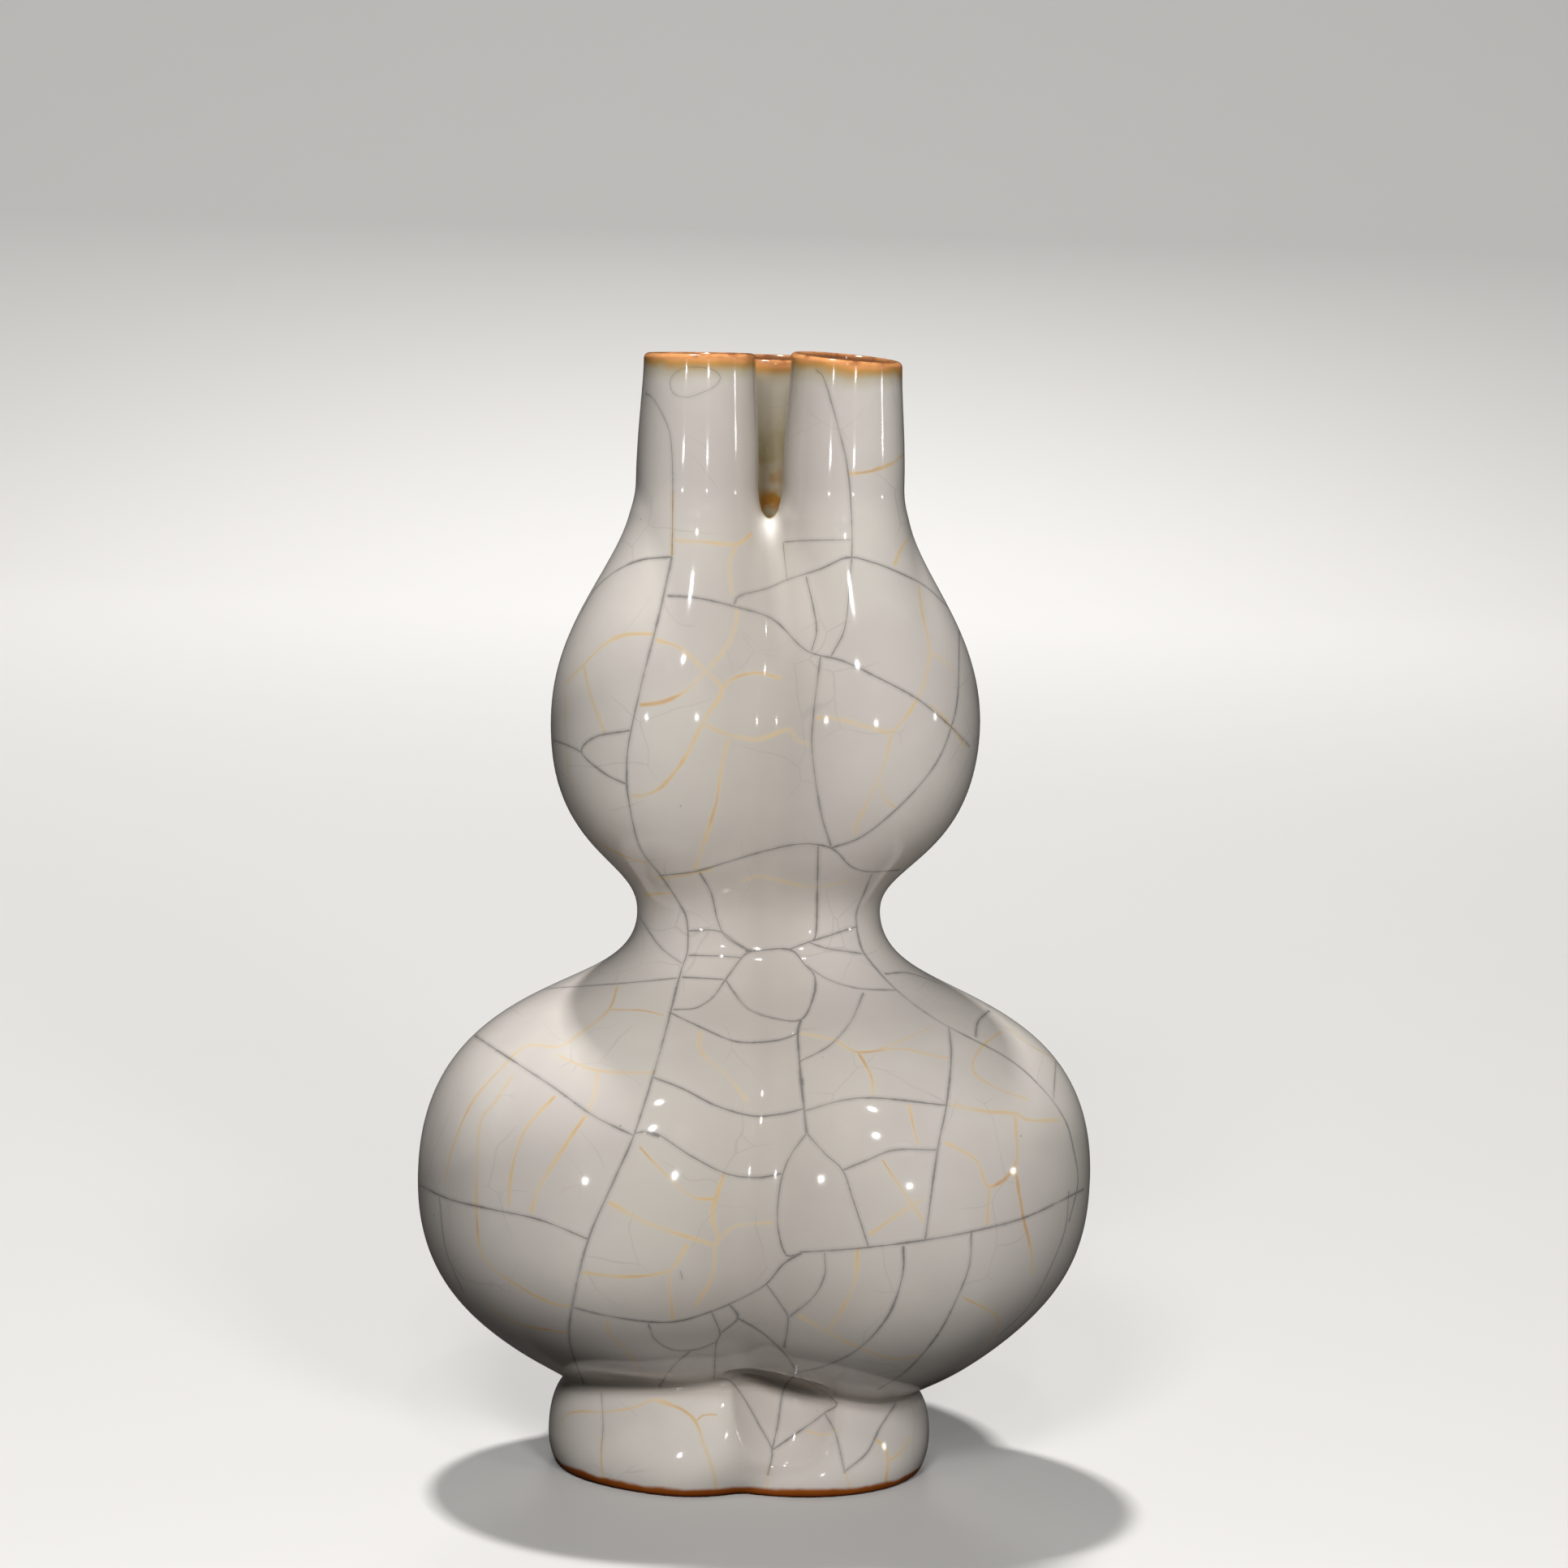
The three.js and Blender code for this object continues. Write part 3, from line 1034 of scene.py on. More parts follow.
@dataclass
class Shoulder(Section):
    """The shoulder: one body below, three necks above, with a well between them."""

    parting: float = 172.0
    inner_parting: float = 163.0
    crown_rows: int = 20

    def skin(self) -> Skin:
        """Body rings below, and above them one sector of neck rays for each lobe.

        Returns:
            The closed surface.
        """
        skin = Skin()
        outside = self.outer_wall(skin, UPPER_EQUATOR.height, self.parting)
        inner_heights = self.inner_heights(UPPER_EQUATOR.height, self.inner_parting)
        inner_insets = GOURDS.inset_for_wall(inner_heights)
        inside = skin.add(body_rings(inner_heights, inner_insets), flip=True)
        skin.bridge(outside[0], inside[0], flip=True)
        outer_crown = NeckRays(self.parting, np.zeros_like).crown(self.crown_rows)
        inner_crown = NeckRays(self.inner_parting, GOURDS.inset_for_wall).crown(self.crown_rows)
        for lobe in range(LOBE_COUNT):
            angle = BACK_LOBE_ANGLE + lobe * LOBE_TURN
            over = skin.add(GOURDS.lean(turned(outer_crown, angle)), outer=True)
            under = skin.add(GOURDS.lean(turned(inner_crown, angle)), flip=True)
            skin.bridge(over[-1], under[-1])
        return skin


@dataclass
class Neck(Section):
    """One neck, with a rounded lip and a mouth cut slightly aslant."""

    lobe: int = 0
    shortening: float = 0.0
    slant: tuple = (0.0, 0.0)
    lip_steps: int = 10

    def skin(self) -> Skin:
        """Outer wall, a half circle over the lip, bore and seat as one loop of rings.

        Returns:
            The closed surface.
        """
        rays = NeckRays(Shoulder.parting, np.zeros_like)
        height = np.linspace(NECK_START, MOUTH.height, int((MOUTH.height - NECK_START) / self.pitch))
        turn = np.linspace(0.0, math.pi, self.lip_steps + 1)[1:-1]
        inner_height = np.linspace(MOUTH.height, NECK_START, len(height) // 2)
        heights = np.concatenate([height, MOUTH.height + LIP_RADIUS * np.sin(turn), inner_height])
        bore_insets = GOURDS.at(GOURDS.radius, inner_height) - BORE_RADIUS
        insets = np.concatenate([np.zeros_like(height), LIP_RADIUS * (1.0 - np.cos(turn)), bore_insets])
        grid = np.broadcast_to(heights[:, None], (len(heights), len(rays.directions)))
        rays.inset_of = lambda level: insets[:, None]
        points = self.slanted(turned(rays.strike(grid), BACK_LOBE_ANGLE + self.lobe * LOBE_TURN))
        points = GOURDS.lean(points)
        from_mouth = np.maximum(MOUTH.height + LIP_RADIUS - grid, 0.0)
        skin = Skin()
        outside = skin.add(points[:len(height)], outer=True, rim=from_mouth[:len(height)])
        inside = skin.add(points[len(height):], rim=from_mouth[len(height):])
        skin.bridge(outside[-1], inside[0])
        skin.bridge(inside[-1], outside[0])
        return skin

    def slanted(self, points: Array) -> Array:
        """Points moved upright by the slant and the shortening, as the square of the way up.

        Args:
            points: straight points, in mm.

        Returns:
            The moved points.
        """
        angle = BACK_LOBE_ANGLE + self.lobe * LOBE_TURN
        right = points[..., 0] - NECK_SEAT.spread * math.cos(angle)
        back = points[..., 1] - NECK_SEAT.spread * math.sin(angle)
        share = np.clip((points[..., 2] - NECK_START) / (MOUTH.height - NECK_START), 0.0, 1.0)
        rise = (right * self.slant[0] + back * self.slant[1] - self.shortening) * share**2
        return np.concatenate([points[..., :2], (points[..., 2] + rise)[..., None]], axis=-1)


@dataclass(frozen=True)
class Viewpoint:
    """The camera, placed from the picture's perspective. Lengths are in mm."""

    across: float = 3.78
    distance: float = 900.0
    height: float = 254.75
    pitch_deg: float = 8.006
    roll_deg: float = 1.6
    focal_px: float = 6028.0
    image_px: float = 1932.0
    sensor_mm: float = 36.0
    farthest_m: float = 20.0

    def axes(self) -> tuple:
        """The camera's right, up and forward directions.

        Returns:
            Three unit vectors.
        """
        pitch, roll = math.radians(self.pitch_deg), math.radians(self.roll_deg)
        right = np.array([1.0, 0.0, 0.0])
        forward = np.array([0.0, math.cos(pitch), -math.sin(pitch)])
        up = np.array([0.0, math.sin(pitch), math.cos(pitch)])
        return (right * math.cos(roll) + up * math.sin(roll),
                up * math.cos(roll) - right * math.sin(roll), forward)

    def place(self) -> Array:
        """The camera's place."""
        return np.array([self.across, AXIS_Y - self.distance, self.height])

    def rays(self, pixels: Array) -> Array:
        """Unit directions through points of the picture.

        Args:
            pixels: points of the picture, from its upper left corner.

        Returns:
            A direction for each point.
        """
        right, up, forward = self.axes()
        offset = (pixels - self.image_px / 2) / self.focal_px
        direction = forward + offset[:, :1] * right - offset[:, 1:] * up
        return direction / np.linalg.norm(direction, axis=1, keepdims=True)

    def build(self) -> bpy.types.Object:
        """Makes the camera and takes it into use.

        Returns:
            The camera.
        """
        data = bpy.data.cameras.new("viewpoint")
        data.sensor_fit = "HORIZONTAL"
        data.sensor_width = self.sensor_mm
        data.lens = self.focal_px * self.sensor_mm / self.image_px
        data.clip_end = self.farthest_m
        camera = put("viewpoint", data)
        right, up, forward = self.axes()
        turn = Matrix([right, up, -forward]).transposed().to_4x4()
        camera.matrix_world = Matrix.Translation(self.place() * METRES_PER_MM) @ turn
        bpy.context.scene.camera = camera
        return camera


class LineKind(Enum):
    """The two sets of lines in the glaze: wide ink-stained cracks and fine rust-stained ones."""

    DARK = 1
    GOLD = -1


@dataclass(frozen=True)
class Stroke:
    """A crack as it shows in the picture: the points of its course, in the picture's pixels."""

    course: tuple
    weight: float = 1.0


@dataclass
class Crack:
    """A crack on the skin: its points in mm, its kind and its weight."""

    points: Array
    kind: LineKind
    weight: float


@dataclass
class GlazeSurface:
    """The outer skins of all sections as one surface, for laying cracks on it."""

    pieces: list
    tree: BVHTree = field(init=False)
    centres: Array = field(init=False)

    def __post_init__(self) -> None:
        """Gathers the outer faces."""
        points, faces, centres = [], [], []
        start = 0
        for piece in self.pieces:
            mesh = piece.data
            place = read_vectors(mesh.vertices, "co") / METRES_PER_MM
            skin = np.empty(len(mesh.vertices))
            mesh.attributes["skin"].data.foreach_get("value", skin)
            for polygon in mesh.polygons:
                corners = list(polygon.vertices)
                if skin[corners].min() > 0:
                    faces.append([corner + start for corner in corners])
                    centres.append(place[corners].mean(axis=0))
            points.append(place)
            start += len(place)
        self.tree = BVHTree.FromPolygons(np.concatenate(points).tolist(), faces)
        self.centres = np.array(centres)

    def cast(self, origin: Array, directions: Array) -> Array:
        """Where rays first meet the glaze, with nan for a miss.

        Args:
            origin: where the rays start.
            directions: the rays' directions.

        Returns:
            A place for each ray.
        """
        struck = np.full_like(directions, np.nan)
        for index, direction in enumerate(directions):
            place = self.tree.ray_cast(Vector(origin), Vector(direction))[0]
            if place is not None:
                struck[index] = place
        return struck


def read_vectors(source: bpy.types.bpy_prop_collection, name: str) -> Array:
    """One vector of three for each item.

    Args:
        source: the items.
        name: the name of the vector.

    Returns:
        The vectors, one to a row.
    """
    values = np.empty(len(source) * 3)
    source.foreach_get(name, values)
    return values.reshape(-1, 3)


def read_numbers(source: bpy.types.bpy_prop_collection, name: str) -> Array:
    """One whole number for each item.

    Args:
        source: the items.
        name: the name of the number.

    Returns:
        The numbers.
    """
    values = np.empty(len(source), dtype=int)
    source.foreach_get(name, values)
    return values


def smooth_course(points: Array, pitch: float) -> Array:
    """A Catmull-Rom curve through points, sampled about pitch apart.

    Each stretch is a cubic whose slope at a point is half the step between its neighbours.

    Args:
        points: the points that the curve runs through.
        pitch: the distance between samples.

    Returns:
        The samples, one to a row.
    """
    ahead = np.vstack([points[1:], 2 * points[-1] - points[-2]])
    behind = np.vstack([2 * points[0] - points[1], points[:-1]])
    slopes = (ahead - behind) / 2
    parts = []
    for start, end, leave, arrive in zip(points, points[1:], slopes, slopes[1:]):
        count = max(2, int(np.linalg.norm(end - start) / pitch) + 1)
        share = np.linspace(0.0, 1.0, count, endpoint=False)[:, None]
        parts.append((2 * share**3 - 3 * share**2 + 1) * start + (share**3 - 2 * share**2 + share) * leave
                     + (3 * share**2 - 2 * share**3) * end + (share**3 - share**2) * arrive)
    parts.append(points[-1:])
    return np.concatenate(parts)


# The cracks that the picture shows, from the mouths down
DARK_STROKES = (
    # The necks and the shoulder
    Stroke(((795, 484), (806, 493), (821, 521), (827, 546), (829, 600), (828, 686)), 0.6),
    Stroke(((828, 686), (812, 758), (790, 844), (775, 914), (772, 954), (775, 988), (788, 1043), (815, 1080),
            (835, 1110), (846, 1133), (847, 1171), (837, 1204), (813, 1297), (782, 1396), (758, 1451),
            (725, 1527), (706, 1604), (702, 1653), (719, 1705))),
    Stroke(((1005, 455), (1016, 469), (1032, 524), (1045, 582), (1050, 664), (1047, 714), (1041, 773),
            (1024, 809)), 0.7),
    Stroke(((716, 755), (734, 725), (760, 703), (790, 690), (828, 686))),
    Stroke(((822, 734), (860, 737), (904, 747), (952, 763), (993, 801), (1037, 814), (1074, 831),
            (1130, 861), (1171, 895), (1195, 920))),
    Stroke(((904, 745), (912, 734), (945, 725), (971, 714), (1011, 701), (1045, 687), (1078, 694),
            (1111, 707), (1141, 723), (1171, 751))),
    Stroke(((965, 668), (967, 692), (970, 716)), 0.7),
    Stroke(((965, 668), (993, 666), (1049, 665)), 0.6),
    Stroke(((993, 710), (1002, 747), (1006, 777), (1000, 802))),
    # The upper bulb
    Stroke(((1011, 808), (1002, 884), (1001, 929), (1011, 999), (1024, 1043))),
    Stroke(((1024, 1045), (1060, 1032), (1097, 1004), (1130, 971), (1156, 936), (1171, 899), (1180, 858),
            (1182, 777))),
    Stroke(((771, 966), (745, 953), (717, 927), (734, 908), (777, 900))),
    Stroke(((717, 927), (701, 919), (682, 912))),
    # The waist
    Stroke(((812, 1079), (856, 1074), (897, 1062), (941, 1049), (986, 1040), (1024, 1045), (1048, 1067),
            (1071, 1074), (1109, 1072))),
    Stroke(((1008, 1040), (1007, 1100), (1005, 1152), (996, 1161))),
    Stroke(((862, 1075), (876, 1100), (884, 1133), (895, 1155), (922, 1171))),
    Stroke(((1074, 1077), (1065, 1100), (1055, 1127), (1059, 1160), (1070, 1182), (1106, 1221), (1158, 1259),
            (1240, 1303), (1284, 1341), (1312, 1380), (1323, 1418), (1328, 1457), (1317, 1506)), 1.1),
    Stroke(((848, 1147), (884, 1147), (905, 1160), (922, 1171))),
    Stroke(((848, 1177), (884, 1178), (914, 1180))),
    Stroke(((840, 1204), (878, 1206), (892, 1207))),
    Stroke(((829, 1244), (857, 1242), (878, 1229), (892, 1210), (914, 1180), (925, 1172)), 1.1),
    Stroke(((925, 1172), (972, 1170), (991, 1188), (1004, 1204), (1002, 1229), (987, 1256), (955, 1255),
            (922, 1243), (903, 1221), (894, 1207)), 1.1),
    Stroke(((972, 1170), (996, 1161), (1027, 1151), (1057, 1141))),
    Stroke(((996, 1161), (1021, 1169), (1062, 1175))),
    Stroke(((991, 1188), (1021, 1207), (1059, 1218), (1106, 1220))),
    # The lower bulb
    Stroke(((987, 1256), (983, 1273), (985, 1308), (988, 1341), (991, 1369), (994, 1396)), 1.4),
    Stroke(((824, 1247), (862, 1265), (906, 1283), (950, 1283), (977, 1276), (985, 1270))),
    Stroke(((985, 1308), (1021, 1289), (1048, 1259), (1064, 1223))),
    Stroke(((804, 1327), (840, 1341), (884, 1363), (928, 1375), (966, 1372), (991, 1366))),
    Stroke(((991, 1369), (1038, 1356), (1081, 1353), (1166, 1362))),
    Stroke(((1169, 1265), (1172, 1303), (1166, 1363), (1155, 1418), (1140, 1528))),
    Stroke(((1038, 1442), (1070, 1429), (1103, 1417), (1155, 1417))),
    Stroke(((994, 1396), (1016, 1421), (1038, 1442), (1051, 1478), (1070, 1536)), 0.8),
    Stroke(((994, 1396), (974, 1424), (962, 1457), (958, 1506), (968, 1545), (988, 1544)), 0.8),
    Stroke(((782, 1396), (807, 1396), (851, 1424), (895, 1446), (933, 1451), (963, 1446))),
    Stroke(((585, 1276), (626, 1303), (681, 1339), (730, 1374), (780, 1399))),
    Stroke(((514, 1459), (555, 1478), (610, 1491), (665, 1503), (725, 1527))),
    Stroke(((648, 1229), (670, 1219), (719, 1215), (774, 1211), (835, 1205)), 0.8),
    Stroke(((788, 1130), (813, 1166), (840, 1187)), 0.8),
    Stroke(((1090, 1200), (1120, 1199), (1158, 1212))),
    Stroke(((1202, 1278), (1205, 1259), (1219, 1245))),
    Stroke(((1298, 1355), (1301, 1308)), 0.7),
    Stroke(((985, 1543), (1048, 1539), (1103, 1533), (1158, 1525), (1213, 1514), (1268, 1498),
            (1336, 1465))),
    Stroke(((541, 1473), (549, 1538), (571, 1593)), 0.7),
    # Under the belly
    Stroke(((706, 1611), (747, 1621), (802, 1629), (840, 1627), (884, 1613), (917, 1598), (944, 1582),
            (966, 1557), (988, 1544)), 1.1),
    Stroke(((799, 1631), (807, 1650), (829, 1663), (857, 1663), (884, 1653)), 0.8),
    Stroke(((850, 1665), (829, 1684), (812, 1709)), 0.8),
    Stroke(((838, 1565), (841, 1577)), 0.4),
    Stroke(((797, 1395), (806, 1398), (813, 1400)), 2.6),
    Stroke(((918, 1171), (927, 1172)), 1.8),
    Stroke(((987, 1328), (988, 1338)), 1.8),
    Stroke(((876, 1615), (887, 1642), (882, 1658), (880, 1700)), 0.8),
    Stroke(((898, 1606), (909, 1624), (889, 1642))),
    Stroke(((909, 1624), (939, 1642), (966, 1667), (983, 1691))),
    Stroke(((944, 1582), (963, 1609), (971, 1626), (966, 1661))),
    Stroke(((1016, 1543), (1016, 1571), (1002, 1598), (972, 1623)), 0.8),
    Stroke(((1113, 1535), (1112, 1571), (1095, 1620), (1059, 1661), (1016, 1683), (983, 1691)), 1.1),
    Stroke(((1197, 1516), (1194, 1560), (1177, 1604), (1155, 1645), (1120, 1686), (1081, 1713))),
    Stroke(((1317, 1467), (1312, 1516), (1290, 1571), (1268, 1609), (1230, 1647)), 0.8),
    # The foot, and the ring under the left mouth
    Stroke(((884, 1698), (900, 1702), (916, 1722), (936, 1757), (951, 1787), (946, 1818)), 0.9),
    Stroke(((983, 1691), (966, 1711), (958, 1757), (951, 1787))),
    Stroke(((951, 1787), (983, 1765), (1016, 1741), (1029, 1727), (983, 1694)), 0.9),
    Stroke(((1016, 1741), (1029, 1765), (1038, 1801), (1041, 1816)), 0.8),
    Stroke(((1041, 1813), (1068, 1790), (1085, 1758), (1104, 1729))),
    Stroke(((741, 1716), (743, 1757), (741, 1790)), 0.6),
    Stroke(((831, 460), (826, 469), (828, 482), (836, 488), (850, 489), (867, 483), (879, 477), (887, 467),
            (881, 457), (860, 452), (842, 454), (831, 460)), 0.45),
)

GOLD_STROKES = (
    # The upper bulb and the necks
    Stroke(((806, 781), (771, 782), (745, 794), (719, 819), (697, 842))),
    Stroke(((719, 819), (725, 847), (732, 869), (745, 903))),
    Stroke(((808, 788), (838, 799), (869, 827), (889, 851), (867, 888), (845, 932), (819, 966), (797, 979),
            (778, 981)), 1.1),
    Stroke(((909, 751), (904, 777), (891, 803), (870, 827), (845, 851), (819, 864), (788, 869))),
    Stroke(((828, 666), (867, 668), (908, 670), (926, 657))),
    Stroke(((908, 670), (899, 696), (902, 733)), 0.8),
    Stroke(((867, 892), (897, 905), (934, 911), (971, 899), (982, 912), (1000, 917)), 0.9),
    Stroke(((889, 851), (904, 836), (934, 829), (963, 836)), 0.7),
    Stroke(((897, 910), (889, 947), (882, 991), (867, 1040), (856, 1071))),
    Stroke(((1004, 884), (1034, 886), (1067, 895), (1100, 900), (1130, 862), (1141, 832), (1145, 799),
            (1137, 758), (1132, 721))),
    Stroke(((1100, 900), (1089, 943), (1071, 984), (1056, 1014), (1053, 1027))),
    Stroke(((1084, 966), (1091, 984), (1102, 995)), 0.7),
    Stroke(((1145, 803), (1163, 814), (1178, 829)), 0.7),
    Stroke(((1119, 662), (1108, 681), (1102, 697))),
    # The waist
    Stroke(((912, 1086), (937, 1080), (974, 1088), (1004, 1093), (1048, 1086)), 0.8),
    Stroke(((697, 847), (697, 899), (700, 954)), 0.8),
    Stroke(((727, 1032), (753, 1047), (775, 1057), (797, 1064))),
    Stroke(((794, 1103), (812, 1101), (827, 1100)), 1.3),
    Stroke(((1045, 584), (1071, 581), (1099, 571), (1113, 560))),
    # The left of the lower bulb
    Stroke(((761, 1215), (750, 1244), (719, 1270), (689, 1289), (648, 1289), (615, 1319), (582, 1358),
            (560, 1407), (549, 1451))),
    Stroke(((750, 1244), (791, 1245), (818, 1251)), 0.8),
    Stroke(((687, 1300), (736, 1319), (807, 1322)), 0.8),
    Stroke(((736, 1323), (733, 1347), (725, 1369)), 0.8),
    Stroke(((684, 1350), (648, 1391), (632, 1435), (626, 1487))),
    Stroke(((722, 1374), (692, 1418), (665, 1462), (654, 1495))),
    Stroke(((632, 1325), (610, 1358), (593, 1380), (588, 1429), (588, 1511), (599, 1554), (643, 1587),
            (681, 1606), (703, 1609))),
    Stroke(((750, 1481), (796, 1506), (851, 1525), (884, 1531), (878, 1495), (892, 1446)), 1.1),
    Stroke(((788, 1413), (813, 1440), (851, 1473), (881, 1478)), 0.8),
    Stroke(((884, 1531), (906, 1511), (953, 1506)), 0.8),
    Stroke(((862, 1270), (865, 1297), (895, 1325), (922, 1358)), 0.7),
    # The right of the lower bulb
    Stroke(((985, 1273), (1027, 1281), (1057, 1296), (1109, 1292), (1147, 1300), (1169, 1304))),
    Stroke(((1057, 1296), (1073, 1325), (1076, 1350)), 0.8),
    Stroke(((1084, 1292), (1114, 1281), (1147, 1265)), 0.7),
    Stroke(((1120, 1361), (1125, 1385), (1131, 1410)), 0.8),
    Stroke(((1169, 1361), (1213, 1369), (1251, 1372), (1268, 1380), (1306, 1380))),
    Stroke(((1251, 1374), (1251, 1435), (1219, 1462), (1202, 1429), (1164, 1407))),
    Stroke(((1219, 1462), (1216, 1509)), 0.8),
    Stroke(((1251, 1440), (1260, 1495), (1271, 1544), (1271, 1571))),
    Stroke(((1087, 1429), (1109, 1462), (1139, 1506)), 0.8),
    Stroke(((1070, 1522), (1109, 1495), (1136, 1478)), 0.8),
    Stroke(((1235, 1270), (1208, 1292), (1199, 1319), (1229, 1341), (1268, 1355)), 0.8),
    Stroke(((1240, 1265), (1268, 1287), (1298, 1303)), 0.8),
    # Under the belly
    Stroke(((604, 1609), (637, 1631), (697, 1642))),
    Stroke(((717, 1568), (774, 1573), (824, 1565), (848, 1532))),
    Stroke(((824, 1568), (829, 1626)), 0.8),
    Stroke(((881, 1532), (878, 1571), (857, 1609))),
    Stroke(((1057, 1538), (1054, 1576), (1040, 1609), (1021, 1639))),
    Stroke(((983, 1620), (1021, 1642), (1059, 1661), (1103, 1674), (1136, 1669))),
    Stroke(((1186, 1598), (1229, 1623), (1219, 1653)), 0.8),
    Stroke(((748, 1626), (751, 1644), (770, 1662), (785, 1684), (792, 1695))),
    # Rust beside dark lines
    Stroke(((806, 1083), (840, 1079), (880, 1070)), 1.3),
    Stroke(((1146, 867), (1172, 895), (1190, 921))),
    Stroke(((829, 606), (829, 640), (828, 684))),
    # The foot
    Stroke(((806, 1724), (824, 1730), (841, 1737), (857, 1752), (868, 1782), (878, 1810), (883, 1836)), 1.1),
    Stroke(((687, 1757), (698, 1743), (717, 1739), (745, 1740), (780, 1734), (806, 1724)), 0.6),
    Stroke(((741, 1772), (741, 1801), (745, 1830))),
    Stroke(((857, 1752), (867, 1744), (884, 1743)), 0.5),
    Stroke(((1078, 1773), (1090, 1784), (1094, 1801), (1091, 1828))),
    Stroke(((1094, 1801), (1108, 1791), (1122, 1771)), 0.7),
    Stroke(((947, 1806), (945, 1834)), 0.7),
    Stroke(((1041, 1813), (1048, 1834)), 0.7),
    Stroke(((994, 1763), (1016, 1768), (1035, 1760)), 0.5),
)


@dataclass
class Crackle:
    """The net of cracks: laid where the picture shows them, and grown over the rest.

    A grown crack starts at the point furthest from all others, as stress does in a cooling glaze,
    and runs both ways along a slowly bending path until it meets another crack.
    """

    surface: GlazeSurface
    camera: Viewpoint
    seed: int = 7
    pitch_px: float = 3.0
    step: float = 0.8
    meeting: float = 1.1
    longest: float = 110.0
    dark_spacing: float = 17.0
    gold_spacing: float = 10.5
    bend_per_mm: float = 0.02
    bend_change: float = 0.12
    bend_left: float = 0.985
    widest_turn: float = 1.6
    weights: tuple = (0.6, 1.15)
    fewest_laid: int = 2
    fewest_grown: int = 4
    free_steps: int = 2
    spread_of_trials: int = 5000
    thinning: int = 3
    cracks: list = field(default_factory=list)

    def lay(self, kind: LineKind, strokes: tuple) -> None:
        """Casts the drawn cracks from the camera onto the glaze.

        Args:
            kind: the kind of crack.
            strokes: the cracks as the picture shows them.
        """
        origin = self.camera.place()
        for stroke in strokes:
            pixels = smooth_course(np.array(stroke.course, dtype=float), self.pitch_px)
            points = self.surface.cast(origin, self.camera.rays(pixels))
            points = points[~np.isnan(points[:, 0])]
            if len(points) > self.fewest_laid:
                self.cracks.append(Crack(points, kind, stroke.weight))
        LOG.info("%d cracks laid", len(self.cracks))

    def seen(self, point: Vector) -> bool:
        """Whether the camera sees this point of the glaze.

        Args:
            point: a point of the glaze.

        Returns:
            Whether nothing hides it.
        """
        origin = Vector(self.camera.place())
        struck = self.surface.tree.ray_cast(origin, (point - origin).normalized())[0]
        return struck is not None and (struck - point).length < self.step

    def grow(self) -> None:
        """Grows dark cracks, and then gold ones between them, where the camera doesn't see."""
        random = np.random.default_rng(self.seed)
        chosen = random.permutation(len(self.surface.centres))[:self.spread_of_trials]
        trials = self.surface.centres[chosen]
        hidden = np.array([not self.seen(Vector(trial)) for trial in trials])
        trials = trials[hidden]
        distance = np.full(len(trials), np.inf)
        for crack in self.cracks:
            distance = self.nearer(distance, trials, crack.points)
        for kind, spacing in ((LineKind.DARK, self.dark_spacing), (LineKind.GOLD, self.gold_spacing)):
            while distance.max() > spacing / 2:
                start = int(distance.argmax())
                points = self.run_both_ways(trials[start], random)
                if len(points) > self.fewest_grown:
                    self.cracks.append(Crack(points, kind, random.uniform(*self.weights)))
                    distance = self.nearer(distance, trials, points)
                distance[start] = 0.0
        LOG.info("%d cracks after growing", len(self.cracks))

    def nearer(self, distance: Array, trials: Array, points: Array) -> Array:
        """The distance from each trial to the nearest crack, once these points are added."""
        gaps = np.linalg.norm(trials[:, None] - points[::self.thinning], axis=2).min(axis=1)
        return np.minimum(distance, gaps)

    def run_both_ways(self, start: Array, random: np.random.Generator) -> Array:
        """One crack from start to where it meets others, both ways.

        Args:
            start: a point near the glaze.
            random: the source of chance.

        Returns:
            The points of the crack, one to a row.
        """
        place, normal = self.surface.tree.find_nearest(Vector(start))[:2]
        heading = random.uniform(0.0, 2 * math.pi)
        bend = random.normal(0.0, self.bend_per_mm)
        side = normal.orthogonal().normalized()
        ahead = side * math.cos(heading) + normal.cross(side) * math.sin(heading)
        net = np.concatenate([crack.points for crack in self.cracks])
        forward = self.run(place, ahead, bend, net, random)
        back = self.run(place, -ahead, -bend, net, random)
        return np.array([tuple(point) for point in back[::-1] + [place] + forward])

    def run(self, place: Vector, ahead: Vector, bend: float, net: Array,
            random: np.random.Generator) -> list:
        """Walks from place along the glaze, turning by bend, until the path meets the net.

        Args:
            place: where the walk starts.
            ahead: the first direction.
            bend: turn in radians per mm.
            net: points of the cracks that are there.
            random: the source of chance.

        Returns:
            The points of the walk, without the start.
        """
        path = []
        turned_by = 0.0
        near = net[np.linalg.norm(net - np.array(place), axis=1) < self.longest]
        for _ in range(int(self.longest / self.step)):
            struck, normal = self.surface.tree.find_nearest(place + ahead * self.step)[:2]
            if (struck - place).length < self.step / 2 or self.seen(struck):
                break
            path.append(struck)
            bend += random.normal(0.0, self.bend_per_mm * self.bend_change)
            bend *= self.bend_left
            turned_by += bend * self.step
            if abs(turned_by) > self.widest_turn:
                bend = -bend
            ahead = (ahead - normal * ahead.dot(normal)).normalized()
            ahead = (ahead + normal.cross(ahead) * bend * self.step).normalized()
            place = struck
            gaps = np.linalg.norm(near - np.array(place), axis=1)
            if len(path) > self.free_steps and gaps.min() < self.meeting:
                path.append(Vector(near[gaps.argmin()]))
                break
        return path


